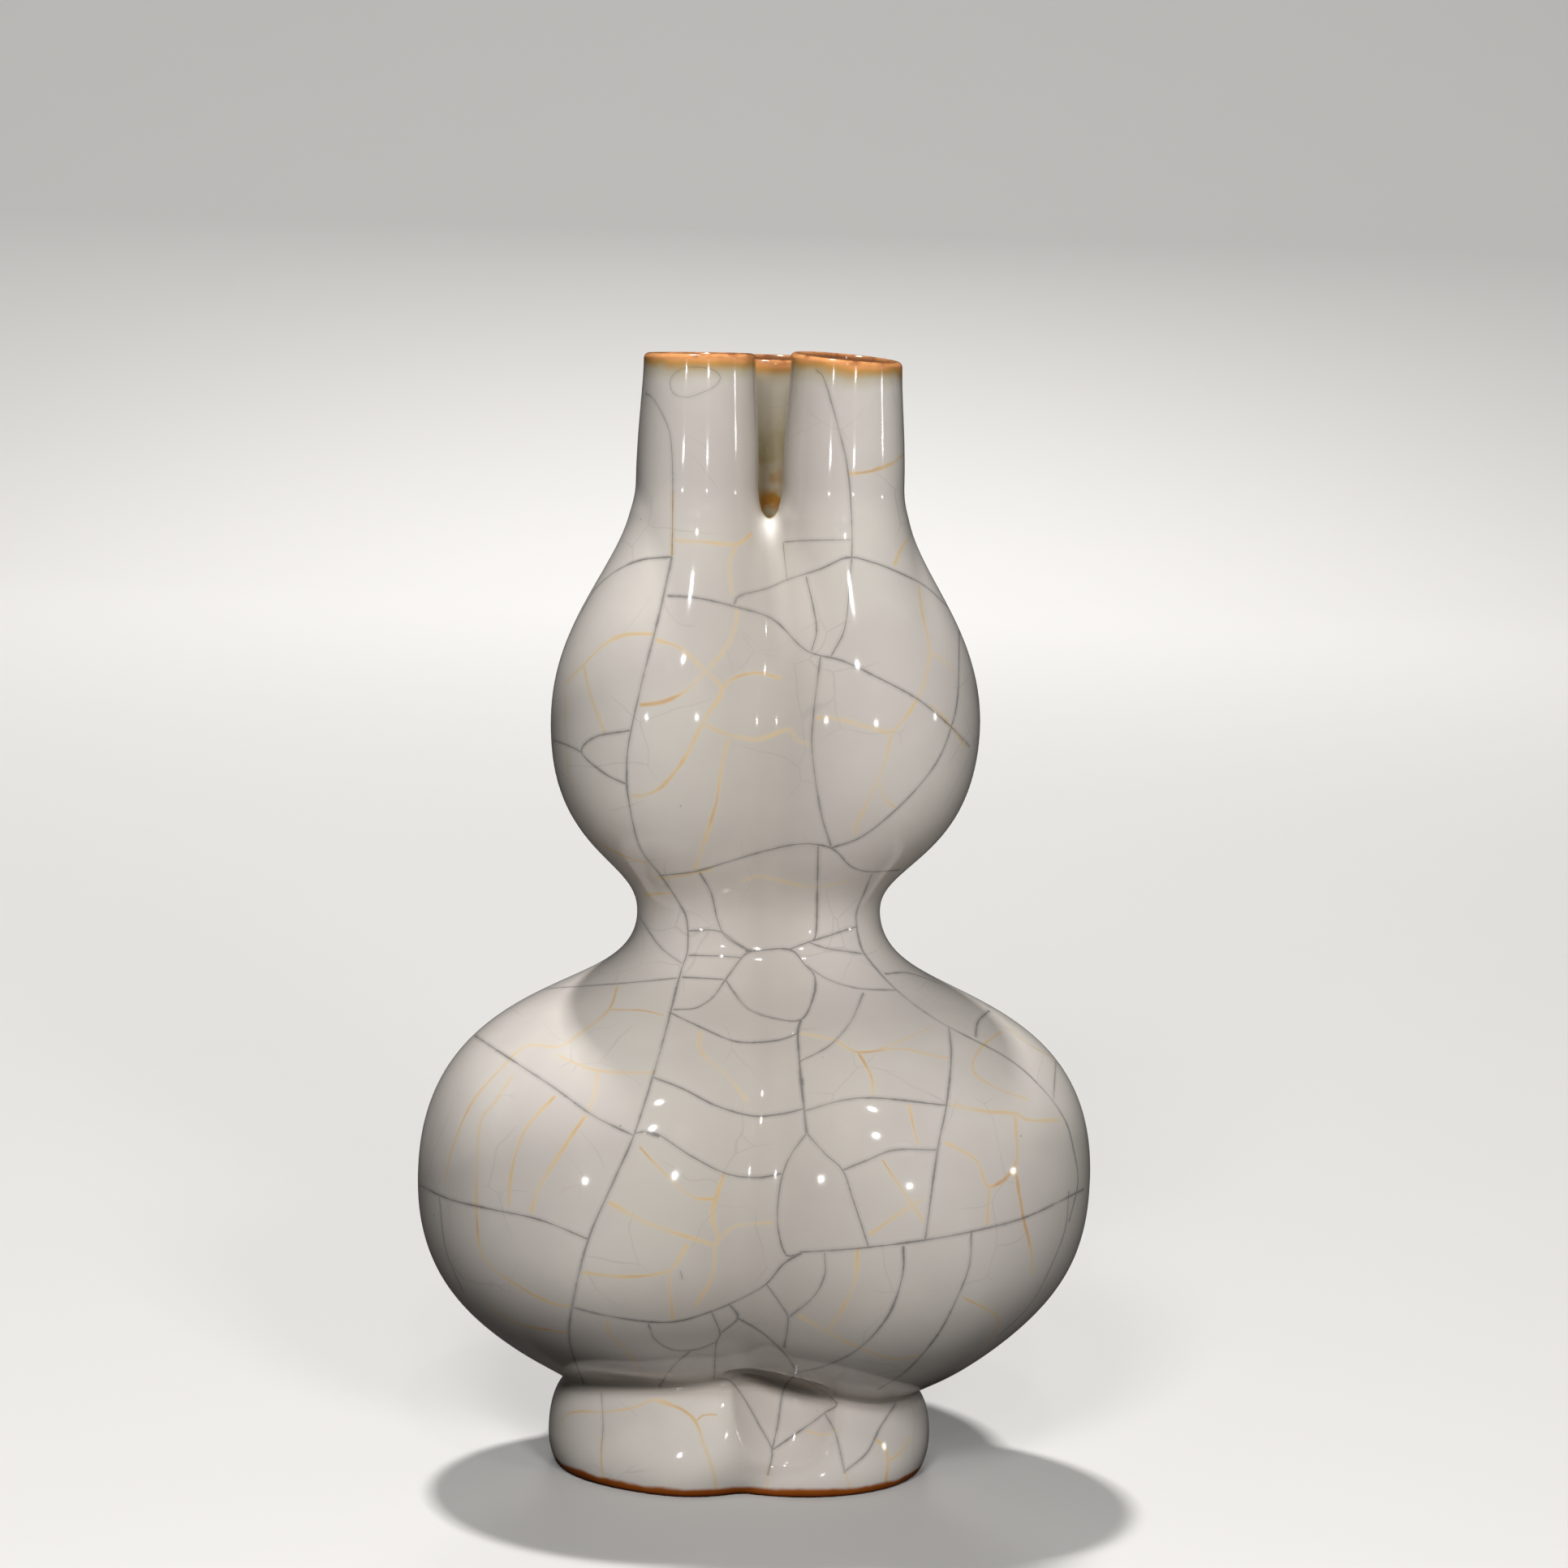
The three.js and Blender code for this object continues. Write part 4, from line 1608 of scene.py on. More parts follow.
@dataclass
class CrackSegments:
    """All cracks, cut into straight segments that are written into the pieces as marks.

    A mark holds three numbers: the distance across the crack, the distance past its end, and its
    weight, which is less than 0 for a gold crack. The first two are worked out at each corner of a
    face, so they run evenly over the face, and a crack can be finer than a face.
    """

    cracks: list
    slots: int = 5
    reach: float = 1.6
    no_end: float = -9.0
    far_off: float = 9.0
    starts: Array = field(init=False)
    ends: Array = field(init=False)
    owner: Array = field(init=False)
    weight: Array = field(init=False)
    first: Array = field(init=False)
    last: Array = field(init=False)
    tree: KDTree = field(init=False)

    def __post_init__(self) -> None:
        """Cuts the cracks and sorts the segments by place."""
        self.starts = np.concatenate([crack.points[:-1] for crack in self.cracks])
        self.ends = np.concatenate([crack.points[1:] for crack in self.cracks])
        counts = [len(crack.points) - 1 for crack in self.cracks]
        self.owner = np.repeat(np.arange(len(self.cracks)), counts)
        self.weight = np.repeat([crack.weight * crack.kind.value for crack in self.cracks], counts)
        changes = self.owner[1:] != self.owner[:-1]
        self.first = np.concatenate([[True], changes])
        self.last = np.concatenate([changes, [True]])
        self.tree = KDTree(len(self.starts))
        for index, middle in enumerate((self.starts + self.ends) / 2):
            self.tree.insert(middle, index)
        self.tree.balance()

    def near(self, centre: Array) -> list:
        """The nearest segment of each crack within reach, as many as there are slots.

        Args:
            centre: the middle of a face.

        Returns:
            The indices of the segments, the nearest first.
        """
        nearest = {}
        for _, index, distance in self.tree.find_range(Vector(centre), self.reach):
            if distance < nearest.get(self.owner[index], (self.far_off, 0))[0]:
                nearest[self.owner[index]] = (distance, index)
        return [index for _, index in sorted(nearest.values())[:self.slots]]

    def marks(self, chosen: Array, places: Array, normals: Array) -> Array:
        """The marks of segments at places on faces.

        Args:
            chosen: the index of a segment for each place.
            places: the places, in mm.
            normals: the face's normal for each place.

        Returns:
            The three numbers for each place.
        """
        course = self.ends[chosen] - self.starts[chosen]
        length = np.linalg.norm(course, axis=1, keepdims=True)
        course = course / length
        offset = places - self.starts[chosen]
        across = np.cross(normals, course)
        across /= np.linalg.norm(across, axis=1, keepdims=True)
        along = (offset * course).sum(axis=1)
        before = np.where(self.first[chosen], -along, self.no_end)
        after = np.where(self.last[chosen], along - length[:, 0], self.no_end)
        return np.stack([(offset * across).sum(axis=1), np.maximum(before, after), self.weight[chosen]],
                        axis=-1)

    def stain(self, piece: bpy.types.Object) -> None:
        """Writes the marks of the nearest cracks of each face of a piece into its corners.

        Args:
            piece: the piece that gets the attributes.
        """
        mesh = piece.data
        place = read_vectors(mesh.vertices, "co") / METRES_PER_MM
        centres = read_vectors(mesh.polygons, "center") / METRES_PER_MM
        normals = read_vectors(mesh.polygons, "normal")
        corner = read_numbers(mesh.loops, "vertex_index")
        loop_start = read_numbers(mesh.polygons, "loop_start")
        loop_total = read_numbers(mesh.polygons, "loop_total")
        used = [[] for _ in range(self.slots)]
        for face, centre in enumerate(centres):
            for slot, index in enumerate(self.near(centre)):
                used[slot].append((face, index))
        for slot, pairs in enumerate(used):
            values = np.tile([self.far_off, self.no_end, 0.0], (len(corner), 1))
            if pairs:
                faces, chosen = np.array(pairs).T
                totals = loop_total[faces]
                loops = np.repeat(loop_start[faces], totals) + ranks(totals)
                values[loops] = self.marks(np.repeat(chosen, totals), place[corner[loops]],
                                           np.repeat(normals[faces], totals, axis=0))
            attribute = mesh.attributes.new(f"crack_{slot}", "FLOAT_VECTOR", "CORNER")
            attribute.data.foreach_set("vector", values.astype(np.float32).ravel())


def ranks(totals: Array) -> Array:
    """Counts from 0 within each group of the given sizes."""
    return np.arange(totals.sum()) - np.repeat(np.cumsum(totals) - totals, totals)


def linear(colour: str) -> tuple:
    """An sRGB hex colour as linear red, green, blue and alpha.

    Args:
        colour: the colour as # and six hex digits.

    Returns:
        The four linear channels.
    """
    channels = []
    for start in (1, 3, 5):
        value = int(colour[start:start + 2], 16) / 255
        channels.append(value / 12.92 if value <= 0.04045 else ((value + 0.055) / 1.055) ** 2.4)
    return (*channels, 1.0)


def add_node(tree: Tree, kind: str, inputs: dict | None = None,
             **settings: object) -> bpy.types.Node:
    """Adds a node with its settings, and sets or links its inputs.

    Args:
        tree: the node tree that takes the node.
        kind: the node's type, without the ShaderNode that every type starts with.
        inputs: for each input, by name or number, its value or the output that feeds it.
        settings: the node's own properties.

    Returns:
        The node.
    """
    node = tree.nodes.new(f"ShaderNode{kind}")
    for name, value in settings.items():
        setattr(node, name, value)
    for name, value in (inputs or {}).items():
        if isinstance(value, Socket):
            tree.links.new(value, node.inputs[name])
        else:
            node.inputs[name].default_value = value
    return node


def fade(tree: Tree, value: object, start: object, end: object,
         low: float = 0.0, high: float = 1.0) -> Socket:
    """A smooth step of value from low at start to high at end.

    Args:
        tree: the material's node tree.
        value: the value that is judged.
        start: where the step starts.
        end: where it ends.
        low: the outcome up to start.
        high: the outcome from end on.

    Returns:
        The outcome.
    """
    return add_node(tree, "MapRange",
                    {"Value": value, "From Min": start, "From Max": end, "To Min": low, "To Max": high},
                    interpolation_type="SMOOTHSTEP").outputs["Result"]


def reckon(tree: Tree, operation: str, *values: object) -> Socket:
    """The outcome of one sum on numbers or outputs."""
    return add_node(tree, "Math", dict(enumerate(values)), operation=operation).outputs[0]


def product(tree: Tree, *values: object) -> Socket:
    """The product of numbers and outputs."""
    return reduce(lambda total, value: reckon(tree, "MULTIPLY", total, value), values)


def read(tree: Tree, name: str) -> Socket:
    """One number of the mesh's own, by its attribute's name."""
    return add_node(tree, "Attribute", attribute_name=name).outputs["Fac"]


def object_place(tree: Tree) -> Socket:
    """The place on the object, in metres."""
    return add_node(tree, "TexCoord").outputs["Object"]


def tinted(tree: Tree, share: object, colour: object, tint: object) -> Socket:
    """A colour with a share of a tint over it, each as an output or as sRGB hex.

    Inputs 6 and 7 and output 2 are the ones that a mixing node has for colours.

    Args:
        tree: the material's node tree.
        share: how much of the tint shows.
        colour: the colour below.
        tint: the colour above.

    Returns:
        The mixed colour.
    """
    below, above = (linear(part) if isinstance(part, str) else part for part in (colour, tint))
    return add_node(tree, "Mix", {0: share, 6: below, 7: above}, data_type="RGBA").outputs[2]


def mottle(tree: Tree, size_mm: float, detail: float = 2.0,
           offset: float = 0.0) -> Socket:
    """Cloudy noise from 0 to 1 whose clouds are about size_mm across.

    Args:
        tree: the material's node tree.
        size_mm: the size of a cloud.
        detail: how many finer layers it has.
        offset: a shift that gives other clouds.

    Returns:
        The noise.
    """
    moved = add_node(tree, "Mapping",
                     {"Vector": object_place(tree), "Location": (offset, 0.0, 0.0)})
    return add_node(tree, "TexNoise",
                    {"Vector": moved.outputs["Vector"], "Scale": 1.0 / (size_mm * METRES_PER_MM),
                     "Detail": detail}).outputs["Fac"]


@dataclass(frozen=True)
class Clouds:
    """A share that changes in clouds about size_mm across, from low in some to high in others.

    The noise counts as low up to start and as high from end on. Detail is how many finer layers it
    has, and offset is a shift that gives other clouds.
    """

    size_mm: float
    detail: float
    offset: float
    start: float
    end: float
    low: float = 0.0
    high: float = 1.0

    def share(self, tree: Tree) -> Socket:
        """The share at each place."""
        noise = mottle(tree, self.size_mm, self.detail, self.offset)
        return fade(tree, noise, self.start, self.end, self.low, self.high)


@dataclass(frozen=True)
class Ramp:
    """A smooth step from low at start to high at end."""

    start: float
    end: float
    low: float = 1.0
    high: float = 0.0

    def of(self, tree: Tree, value: Socket) -> Socket:
        """The step's outcome for a value."""
        return fade(tree, value, self.start, self.end, self.low, self.high)


@dataclass(frozen=True)
class Waver:
    """An uneven shift of a distance, to either side, in mm: amount times noise about its middle."""

    size_mm: float
    detail: float
    offset: float
    amount: float

    def moved(self, tree: Tree, distance: Socket) -> Socket:
        """The distance with the shift."""
        noise = reckon(tree, "SUBTRACT", mottle(tree, self.size_mm, self.detail, self.offset), 0.5)
        return reckon(tree, "ADD", distance, product(tree, noise, self.amount))


@dataclass(frozen=True)
class CrackledGlaze:
    """Thick milky feldspar glaze on iron-rich stoneware, fired smoky and stained in its cracks.

    The glaze is a soft warm grey, with a painted highlight on the saddles, and greyer in the grooves,
    the dent and the foot's crease, partly where it pools and partly as painted shade. Where it runs
    thinly over the mouths the clay shows through as rust, and the wiped foot edge is iron brown.
    """

    name: str
    # Colours of the glaze with its painted shade and painted highlight, of its cracks, of the mouths, of the
    # well and of the foot
    body: str = "#dbd4cb"
    cloud: str = "#d1c9c2"
    # Painted shade, partly where glaze pools, in the grooves and the dent, and painted shade in the foot's
    # crease
    pooled_and_shaded: str = "#b5aca1"
    crease: str = "#958c82"
    # Painted highlight on the saddles between the necks
    saddle_highlight: str = "#f4f1ea"
    gold_line: str = "#dfbd85"
    gold_rust: str = "#cb9a5f"
    gold_bleed: str = "#dfceab"
    dark_line: str = "#3a3537"
    dark_bleed: str = "#8b8785"
    hairline: str = "#a19c96"
    rust: str = "#f4aa6c"
    rust_edge: str = "#86462a"
    rust_smoke: str = "#a5723f"
    bore_brown: str = "#6e4630"
    ochre: str = "#c9923f"
    olive: str = "#b3a376"
    # Olive where glaze pools in the well, with painted shade that deepens downward
    well: str = "#a69c7c"
    well_rust: str = "#a97832"
    foot_rust: str = "#9c5218"
    foot_edge: str = "#6a3010"
    pit: str = "#7d766c"
    # Gloss, clouds, the painted shade of grooves, dent and crease, partly where glaze pools, and pits
    roughness: float = 0.09
    refraction: float = 1.5
    ripple_mm: float = 9.0
    ripple_height_mm: float = 0.03
    cloudy: Clouds = Clouds(28.0, 4.0, 0.0, 0.35, 0.65)
    pooling_and_shade: Ramp = Ramp(0.0, 1.1, 0.0, 0.6)
    creased: Ramp = Ramp(1.1, 2.2, 0.0, 0.55)
    pit_mm: float = 7.0
    pit_radius_mm: float = 0.16
    pit_edge: tuple = (0.6, 1.6)
    pit_strength: float = 0.6
    pit_chance: Ramp = Ramp(0.55, 0.6, 0.0, 1.0)
    # Dark and gold lines with their bleeds
    dark_half_mm: float = 0.15
    gold_half_mm: float = 0.3
    line_edge: tuple = (0.2, 1.9)
    line_end: Ramp = Ramp(-0.3, 0.25)
    bleed: Ramp = Ramp(0.0, 0.9)
    wander: Waver = Waver(1.6, 2.0, 0.0, 0.1)
    swelling: Clouds = Clouds(6.0, 3.0, 0.5, 0.3, 0.7, 0.55, 1.2)
    fraying: Clouds = Clouds(1.2, 1.0, 0.9, 0.45, 0.8, 0.95, 1.2)
    fading: Clouds = Clouds(11.0, 2.0, 0.3, 0.32, 0.62, 0.5, 0.9)
    beads: Clouds = Clouds(1.1, 1.0, 0.7, 0.55, 0.75, 0.0, 0.25)
    rusting: Clouds = Clouds(11.0, 2.0, 0.9, 0.35, 0.65, 0.35, 1.0)
    rusty: Clouds = Clouds(11.0, 2.0, 0.9, 0.55, 0.75)
    dark_strength: float = 0.56
    dark_bleed_strength: float = 0.34
    gold_strength: float = 0.7
    gold_bleed_strength: float = 0.4
    # Hair cracks
    hairline_strength: float = 0.22
    hairline_mm: float = 15.0
    hairline_half_mm: float = 0.12
    hairline_bend: float = 0.4
    hairline_edge: tuple = (0.3, 1.7)
    hairline_places: Clouds = Clouds(16.0, 2.0, 0.4, 0.48, 0.62)
    # The mouths
    mouth_waver: Waver = Waver(7.0, 2.0, 0.2, 2.6)
    olive_fade: Ramp = Ramp(1.86, 5.6, 0.75)
    ochre_fade: Ramp = Ramp(1.24, 3.41, 0.9)
    rust_fade: Ramp = Ramp(0.775, 2.015)
    smoke_fade: Ramp = Ramp(0.93, 3.72, 0.4)
    smoke: Clouds = Clouds(9.0, 2.0, 0.7, 0.4, 0.65)
    scorch_fade: Ramp = Ramp(0.0, 0.93, 0.75)
    scorch: Clouds = Clouds(2.2, 3.0, 0.0, 0.4, 0.65, 0.1, 1.0)
    bore_strength: float = 0.85
    # The well between the necks: olive glaze with painted shade that deepens downward
    well_pool_shade: Ramp = Ramp(0.0, 0.6, 0.0, 1.0)
    well_clouds: Clouds = Clouds(6.0, 2.0, 0.0, 0.3, 0.7, 0.65, 1.0)
    well_floor: Ramp = Ramp(0.6, 0.85, 0.0, 1.0)
    well_stains: Clouds = Clouds(5.0, 2.0, 0.4, 0.4, 0.6)
    # The foot's edge
    foot_waver: Waver = Waver(8.0, 3.0, 0.0, 1.8)
    foot_tint: Ramp = Ramp(0.0, 1.7, 0.0, 1.0)
    foot_fade: Ramp = Ramp(1.36, 2.21)

    def build(self, at_mouth: bool, at_foot: bool) -> bpy.types.Material:
        """Makes the material.

        Args:
            at_mouth: whether the rust of the mouths is drawn.
            at_foot: whether the brown of the foot edge is drawn.

        Returns:
            The material.
        """
        material = bpy.data.materials.new(self.name)
        material.use_nodes = True
        tree = material.node_tree
        shader = tree.nodes["Principled BSDF"]
        colour = self.with_stained_shaded_well(tree, self.glaze_colour(tree))
        if at_mouth:
            colour = self.with_rust_mouth(tree, colour)
        colour = self.with_cracks(tree, colour)
        if at_foot:
            colour = self.with_rust_foot(tree, colour)
        tree.links.new(colour, shader.inputs["Base Color"])
        shader.inputs["Roughness"].default_value = self.roughness
        shader.inputs["IOR"].default_value = self.refraction
        ripple = add_node(tree, "Bump", {
            "Height": mottle(tree, self.ripple_mm, 1.0), "Strength": 1.0,
            "Distance": self.ripple_height_mm * METRES_PER_MM})
        tree.links.new(ripple.outputs["Normal"], shader.inputs["Normal"])
        return material

    def glaze_colour(self, tree: Tree) -> Socket:
        """The body of the glaze: clouds of two greys, a darker one in the grooves, the dent and the crease,
        partly where glaze pools and partly painted shade, a painted highlight on the saddles, and pits.

        Args:
            tree: the material's node tree.

        Returns:
            The colour.
        """
        colour = tinted(tree, self.cloudy.share(tree), self.body, self.cloud)
        # Darker in the grooves, the dent and the crease: partly where glaze pools, partly painted shade
        pooling_and_shade = read(tree, "pooling_and_shade")
        colour = tinted(tree, self.pooling_and_shade.of(tree, pooling_and_shade), colour, self.pooled_and_shaded)
        colour = tinted(tree, self.creased.of(tree, pooling_and_shade), colour, self.crease)
        # Painted highlight on the saddles below the gaps between the necks
        colour = tinted(tree, read(tree, "saddle"), colour, self.saddle_highlight)
        cells = add_node(tree, "TexVoronoi",
                         {"Vector": object_place(tree), "Scale": 1.0 / (self.pit_mm * METRES_PER_MM)})
        rim = self.pit_radius_mm / self.pit_mm
        spot = fade(tree, cells.outputs["Distance"], rim * self.pit_edge[0], rim * self.pit_edge[1], 1.0, 0.0)
        chance = add_node(tree, "SeparateColor", {"Color": cells.outputs["Color"]})
        chance = self.pit_chance.of(tree, chance.outputs["Red"])
        return tinted(tree, product(tree, spot, chance, self.pit_strength), colour, self.pit)

    def with_cracks(self, tree: Tree, colour: Socket) -> Socket:
        """The hair cracks, the gold lines in their bleeds, and the dark lines in theirs.

        Ink fades along a dark line and gathers in beads, and rust comes and goes along a gold one.

        Args:
            tree: the material's node tree.
            colour: the colour so far.

        Returns:
            The colour with it.
        """
        gold, gold_bleed, dark, dark_bleed = self.crack_masks(tree)
        inked = reckon(tree, "ADD", self.fading.share(tree), self.beads.share(tree))
        ink = product(tree, dark, reckon(tree, "MINIMUM", inked, 1.0))
        rust = product(tree, gold, self.rusting.share(tree))
        gold_tint = tinted(tree, self.rusty.share(tree), self.gold_line, self.gold_rust)
        for share, strength, tint in ((self.hairlines(tree), self.hairline_strength, self.hairline),
                                      (gold_bleed, self.gold_bleed_strength, self.gold_bleed),
                                      (rust, self.gold_strength, gold_tint),
                                      (dark_bleed, self.dark_bleed_strength, self.dark_bleed),
                                      (ink, self.dark_strength, self.dark_line)):
            colour = tinted(tree, product(tree, share, strength), colour, tint)
        return colour

    def crack_masks(self, tree: Tree) -> tuple:
        """Shares of gold line, gold bleed, dark line and dark bleed at each place.

        A line fades smoothly from its middle to its edge, whose distance varies along it, and a
        bleed fades over a wider band. Each place takes the strongest of its cracks.

        Args:
            tree: the material's node tree.

        Returns:
            The four shares.
        """
        vary = product(tree, self.swelling.share(tree), self.fraying.share(tree))
        masks = [0.0, 0.0, 0.0, 0.0]
        for slot in range(CrackSegments.slots):
            crack = add_node(tree, "Attribute", attribute_name=f"crack_{slot}")
            parts = add_node(tree, "SeparateXYZ", {0: crack.outputs["Vector"]})
            across = reckon(tree, "ABSOLUTE", self.wander.moved(tree, parts.outputs["X"]))
            ended = self.line_end.of(tree, parts.outputs["Y"])
            weight = product(tree, reckon(tree, "ABSOLUTE", parts.outputs["Z"]), vary)
            bleed = product(tree, ended, self.bleed.of(tree, across), weight)
            for order, (side, half) in enumerate((("LESS_THAN", self.gold_half_mm),
                                                  ("GREATER_THAN", self.dark_half_mm))):
                of_kind = reckon(tree, side, parts.outputs["Z"], 0.0)
                near, far = (product(tree, weight, half, part) for part in self.line_edge)
                line = product(tree, fade(tree, across, near, far, 1.0, 0.0), ended, of_kind)
                for mask, share in ((order * 2, line), (order * 2 + 1, product(tree, bleed, of_kind))):
                    masks[mask] = reckon(tree, "MAXIMUM", masks[mask], share)
        return tuple(masks)

    def hairlines(self, tree: Tree) -> Socket:
        """Share of the faint hair cracks: the borders of cells of bent space, here and there.

        Args:
            tree: the material's node tree.

        Returns:
            The share.
        """
        place = object_place(tree)
        cell = self.hairline_mm * METRES_PER_MM
        bent = add_node(tree, "TexNoise", {"Vector": place, "Scale": 1.0 / cell})
        push = add_node(tree, "VectorMath", {0: bent.outputs["Color"]}, operation="SCALE")
        push.inputs["Scale"].default_value = cell * self.hairline_bend
        moved = add_node(tree, "VectorMath", {0: place, 1: push.outputs["Vector"]})
        cells = add_node(tree, "TexVoronoi",
                         {"Vector": moved.outputs["Vector"], "Scale": 1.0 / cell},
                         feature="DISTANCE_TO_EDGE")
        near, far = (part * self.hairline_half_mm / self.hairline_mm for part in self.hairline_edge)
        line = fade(tree, cells.outputs["Distance"], near, far, 1.0, 0.0)
        return product(tree, line, self.hairline_places.share(tree))

    def with_rust_mouth(self, tree: Tree, colour: Socket) -> Socket:
        """The glaze where it thins towards the lip: olive, then rust, then a darker edge.

        Args:
            tree: the material's node tree.
            colour: the colour so far.

        Returns:
            The colour with it.
        """
        depth = self.mouth_waver.moved(tree, read(tree, "from_mouth"))
        for ramp, tint in ((self.olive_fade, self.olive), (self.ochre_fade, self.ochre),
                           (self.rust_fade, self.rust)):
            colour = tinted(tree, ramp.of(tree, depth), colour, tint)
        for clouds, ramp, tint in ((self.smoke, self.smoke_fade, self.rust_smoke),
                                   (self.scorch, self.scorch_fade, self.rust_edge)):
            colour = tinted(tree, product(tree, clouds.share(tree), ramp.of(tree, depth)), colour, tint)
        return tinted(tree, product(tree, read(tree, "bore"), self.bore_strength), colour, self.bore_brown)

    def with_stained_shaded_well(self, tree: Tree, colour: Socket) -> Socket:
        """The glaze in the well between the necks: olive where it pools, with painted shade deepening
        downward, and brown stains at the floor.

        Args:
            tree: the material's node tree.
            colour: the colour so far.

        Returns:
            The colour with it.
        """
        # Olive and painted shade growing with the depth in the well, and brown stains at its floor
        depth = read(tree, "well")
        for clouds, ramp, tint in ((self.well_clouds, self.well_pool_shade, self.well),
                                   (self.well_stains, self.well_floor, self.well_rust)):
            colour = tinted(tree, product(tree, ramp.of(tree, depth), clouds.share(tree)), colour, tint)
        return colour

    def with_rust_foot(self, tree: Tree, colour: Socket) -> Socket:
        """The bare edge of the foot: iron brown with a wavy upper line, darkest at the sole.

        Args:
            tree: the material's node tree.
            colour: the colour so far.

        Returns:
            The colour with it.
        """
        height = add_node(tree, "SeparateXYZ", {0: object_place(tree)}).outputs["Z"]
        height = self.foot_waver.moved(tree, reckon(tree, "DIVIDE", height, METRES_PER_MM))
        brown = tinted(tree, self.foot_tint.of(tree, height), self.foot_edge, self.foot_rust)
        return tinted(tree, self.foot_fade.of(tree, height), colour, brown)


@dataclass(frozen=True)
class MattPaper:
    """Heavy matt drawing paper, pressed smooth: plain and pale, with a trace of its fibre.

    The camera sees it pale, and paler far from the vase. To all other light it is dim, as a dark
    table would be, so that the vase keeps its shade below and at its sides.
    """

    name: str = "matt_paper"
    pale: str = "#d3d1ce"
    fibre: str = "#cdcac6"
    to_vase: str = "#2b2927"
    fibres: Clouds = Clouds(40.0, 4.0, 0.0, 0.3, 0.7, 0.96, 1.0)
    glow: Ramp = Ramp(0.6, 2.4, 0.02, 0.36)
    roughness: float = 0.9

    def build(self) -> bpy.types.Material:
        """Makes the material, whose glow grows with the distance from the vase in metres.

        Returns:
            The material.
        """
        material = bpy.data.materials.new(self.name)
        material.use_nodes = True
        tree = material.node_tree
        shader = tree.nodes["Principled BSDF"]
        colour = tinted(tree, self.fibres.share(tree), self.fibre, self.pale)
        seen = add_node(tree, "LightPath").outputs["Is Camera Ray"]
        tree.links.new(tinted(tree, seen, self.to_vase, colour), shader.inputs["Base Color"])
        tree.links.new(colour, shader.inputs["Emission Color"])
        away = add_node(tree, "VectorMath", {0: object_place(tree)}, operation="LENGTH")
        glow = product(tree, seen, self.glow.of(tree, away.outputs["Value"]))
        tree.links.new(glow, shader.inputs["Emission Strength"])
        shader.inputs["Roughness"].default_value = self.roughness
        return material


@dataclass(frozen=True)
class Softbox:
    """A square lamp that faces the vase. Turn is from the front to the right, lift is upwards.

    A lamp that isn't mirrored lights the vase as through a tent, without a patch on the glaze.
    """

    name: str
    turn_deg: float
    lift_deg: float
    distance: float
    size: float
    watts: float
    mirrored: bool = True
    aim_height: float = 0.1

    def build(self) -> None:
        """Makes the lamp and turns it to the middle of the vase."""
        data = bpy.data.lights.new(self.name, "AREA")
        data.size = self.size
        data.energy = self.watts
        lamp = put(self.name, data)
        lamp.visible_glossy = self.mirrored
        turn, lift = math.radians(self.turn_deg), math.radians(self.lift_deg)
        aim = Vector((0.0, 0.0, self.aim_height))
        place = aim + self.distance * Vector((math.sin(turn) * math.cos(lift),
                                              -math.cos(turn) * math.cos(lift), math.sin(lift)))
        facing = (aim - place).to_track_quat("-Z", "Y")
        lamp.matrix_world = Matrix.Translation(place) @ facing.to_matrix().to_4x4()


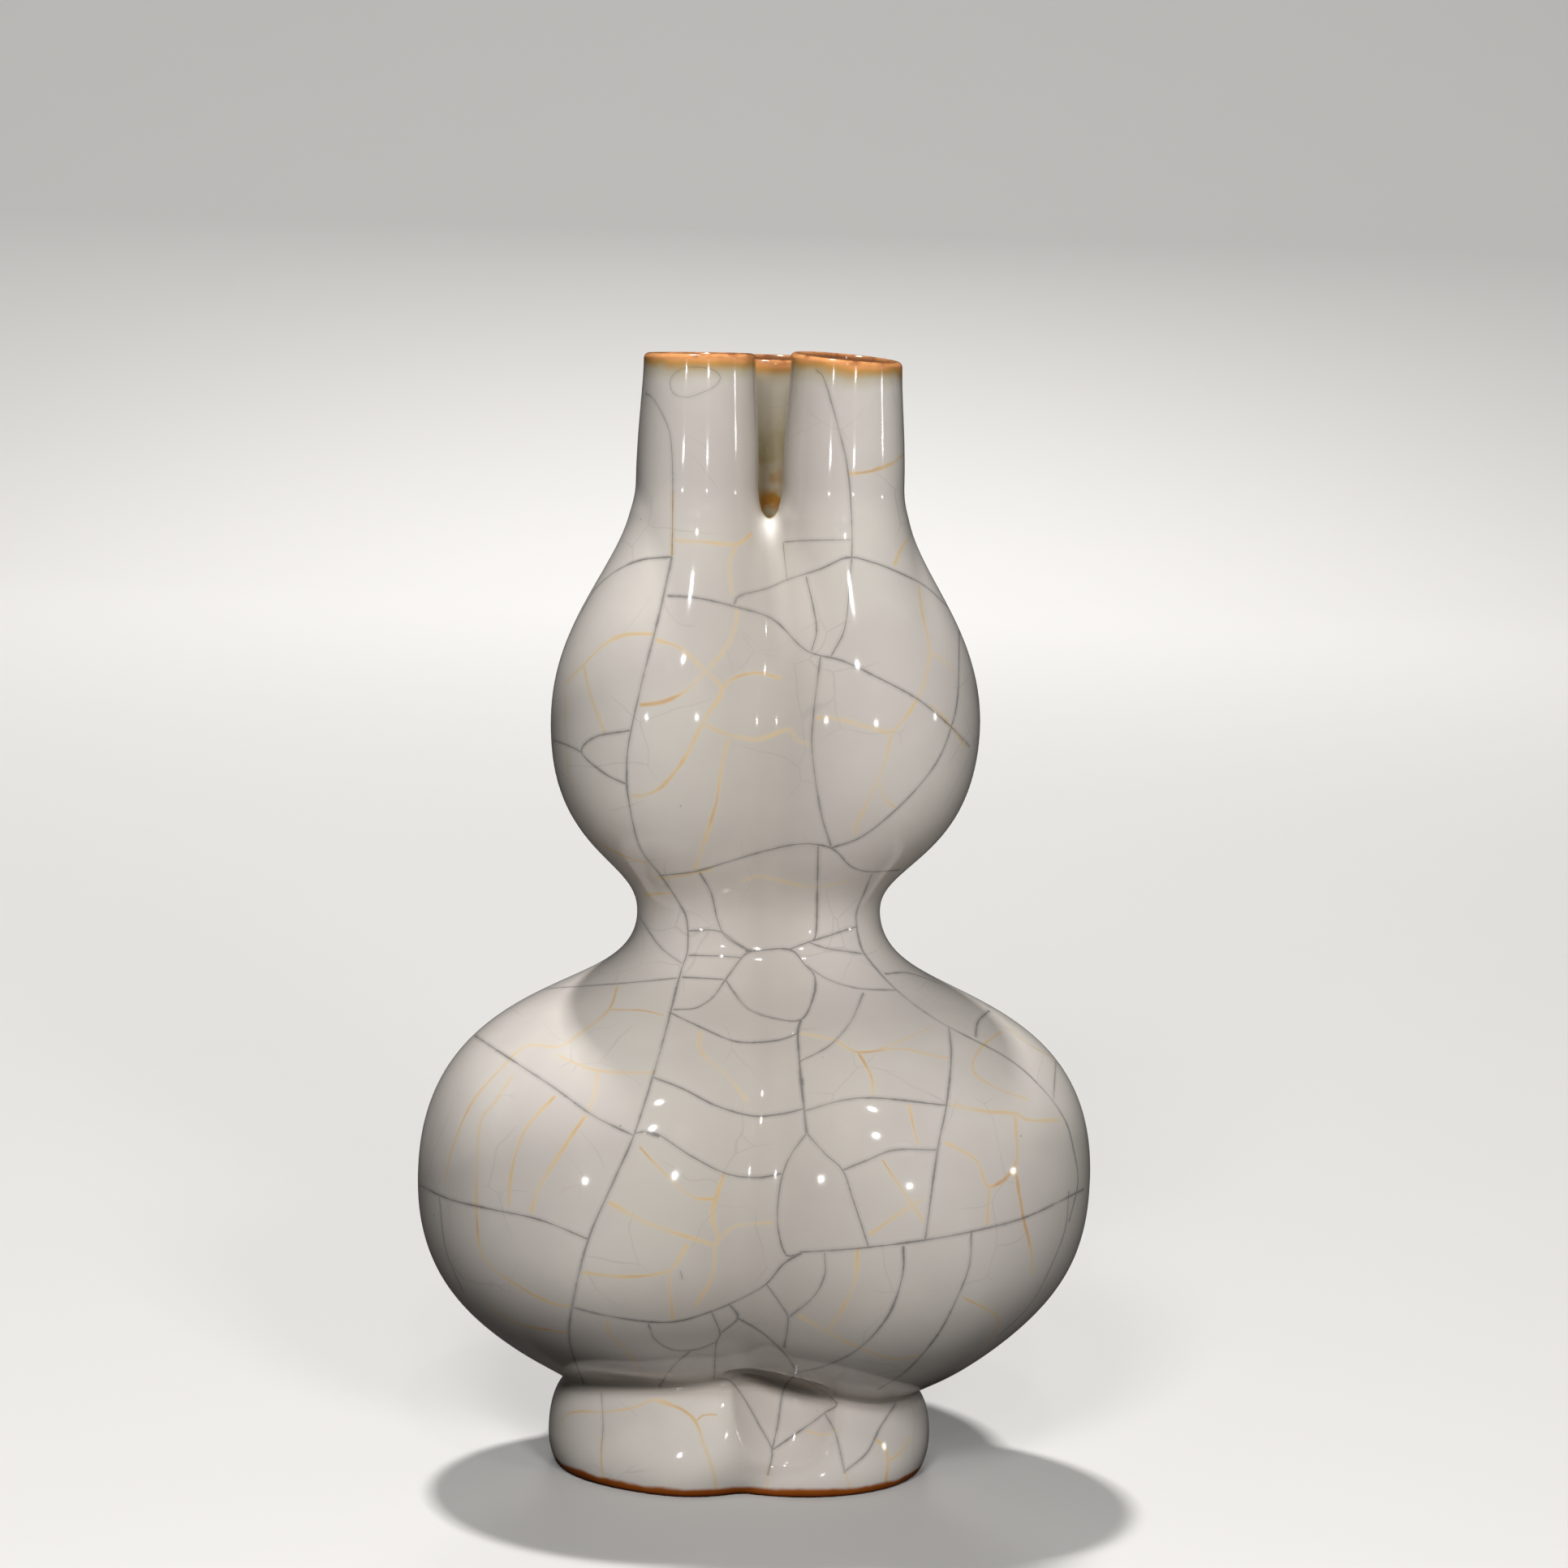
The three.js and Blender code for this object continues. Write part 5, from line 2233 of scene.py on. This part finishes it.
@dataclass
class Studio:
    """A plain pale sweep of paper, soft lamps, and small ones that leave glints on the glaze."""

    room: str = "#efedea"
    world_strength: float = 0.01
    paper_half_width: float = 3.0
    paper_front: float = -2.5
    paper_back: float = 1.6
    sweep_radius: float = 0.9
    sweep_steps: int = 24
    wall_height: float = 3.0
    lamps: tuple = (
        Softbox("key", -9.0, 29.0, 0.9, 0.16, 3.2, mirrored=False),
        Softbox("fill", 19.0, 21.0, 0.9, 0.16, 2.9, mirrored=False),
        Softbox("overhead", -158.0, 73.0, 2.0, 0.14, 36.0),
        Softbox("rear", 180.0, 22.0, 2.0, 0.5, 11.0, mirrored=False),
        Softbox("side", 78.0, 3.0, 3.0, 0.14, 1.6),
        Softbox("glint_left", -26.0, 2.0, 3.0, 0.12, 2.2),
        Softbox("glint_right", 19.0, 2.0, 3.0, 0.12, 2.2),
        Softbox("glint_high", 4.0, 30.0, 3.0, 0.12, 5.0),
        Softbox("glint_top", 5.0, 49.0, 3.0, 0.12, 4.0),
    )

    def build(self) -> None:
        """Makes the paper, the lamps and the light of the room."""
        self.sweep()
        for lamp in self.lamps:
            lamp.build()
        world = bpy.data.worlds.new("room")
        bpy.context.scene.world = world
        world.use_nodes = True
        tree = world.node_tree
        background = tree.nodes["Background"]
        seen = add_node(tree, "LightPath").outputs["Is Camera Ray"]
        background.inputs["Color"].default_value = linear(self.room)
        tree.links.new(fade(tree, seen, 0.0, 1.0, self.world_strength, 1.0), background.inputs["Strength"])
        bpy.context.scene.view_settings.view_transform = "Standard"

    def sweep(self) -> None:
        """The paper: a floor that rises into a wall over a quarter circle."""
        turn = np.linspace(0.0, math.pi / 2, self.sweep_steps + 1)
        along = np.concatenate([[self.paper_front], self.paper_back + self.sweep_radius * np.sin(turn),
                                [self.paper_back + self.sweep_radius]])
        height = np.concatenate([[0.0], self.sweep_radius * (1.0 - np.cos(turn)), [self.wall_height]])
        rows = len(along)
        left = np.stack([np.full(rows, -self.paper_half_width), along, height], axis=-1)
        right = left * (-1.0, 1.0, 1.0)
        lower = np.arange(rows - 1)
        faces = np.stack([lower, lower + rows, lower + rows + 1, lower + 1], axis=-1)
        mesh = bpy.data.meshes.new("paper_sweep")
        mesh.from_pydata(np.concatenate([left, right]).tolist(), [], faces.tolist())
        mesh.shade_smooth()
        mesh.materials.append(MattPaper().build())
        paper = put("paper_sweep", mesh)


def main() -> None:
    """Builds the vase, its cracks and finishes, and the studio."""
    logging.basicConfig(level=logging.INFO, format="%(name)s: %(message)s")
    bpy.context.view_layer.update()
    camera = Viewpoint()
    camera.build()
    sections = (
        FootRing("foot_ring", Slot.FOOT),
        LowerBowl("lower_bowl", Slot.GLAZE),
        OpenShell("lower_dome", Slot.GLAZE, low=LOWER_EQUATOR, high=WAIST),
        OpenShell("upper_bowl", Slot.GLAZE, low=WAIST, high=UPPER_EQUATOR),
        Shoulder("shoulder", Slot.GLAZE),
        Neck("neck_back", Slot.MOUTH, lobe=0, shortening=1.6),
        Neck("neck_left", Slot.MOUTH, lobe=1, slant=(0.016, -0.035)),
        Neck("neck_right", Slot.MOUTH, lobe=2, slant=(-0.066, 0.009)),
    )
    finishes = {
        Slot.GLAZE: CrackledGlaze("crackled_feldspar_glaze").build(at_mouth=False, at_foot=False),
        Slot.MOUTH: CrackledGlaze("glaze_thinned_at_mouth").build(at_mouth=True, at_foot=False),
        Slot.FOOT: CrackledGlaze("glaze_wiped_at_foot").build(at_mouth=False, at_foot=True),
    }
    pieces = []
    for section in sections:
        piece = section.build()
        piece.data.materials.append(finishes[section.slot])
        pieces.append(piece)
    crackle = Crackle(GlazeSurface(pieces), camera)
    crackle.lay(LineKind.DARK, DARK_STROKES)
    crackle.lay(LineKind.GOLD, GOLD_STROKES)
    crackle.grow()
    segments = CrackSegments(crackle.cracks)
    for piece in pieces:
        segments.stain(piece)
    Studio().build()


if __name__ == "__main__":
    main()
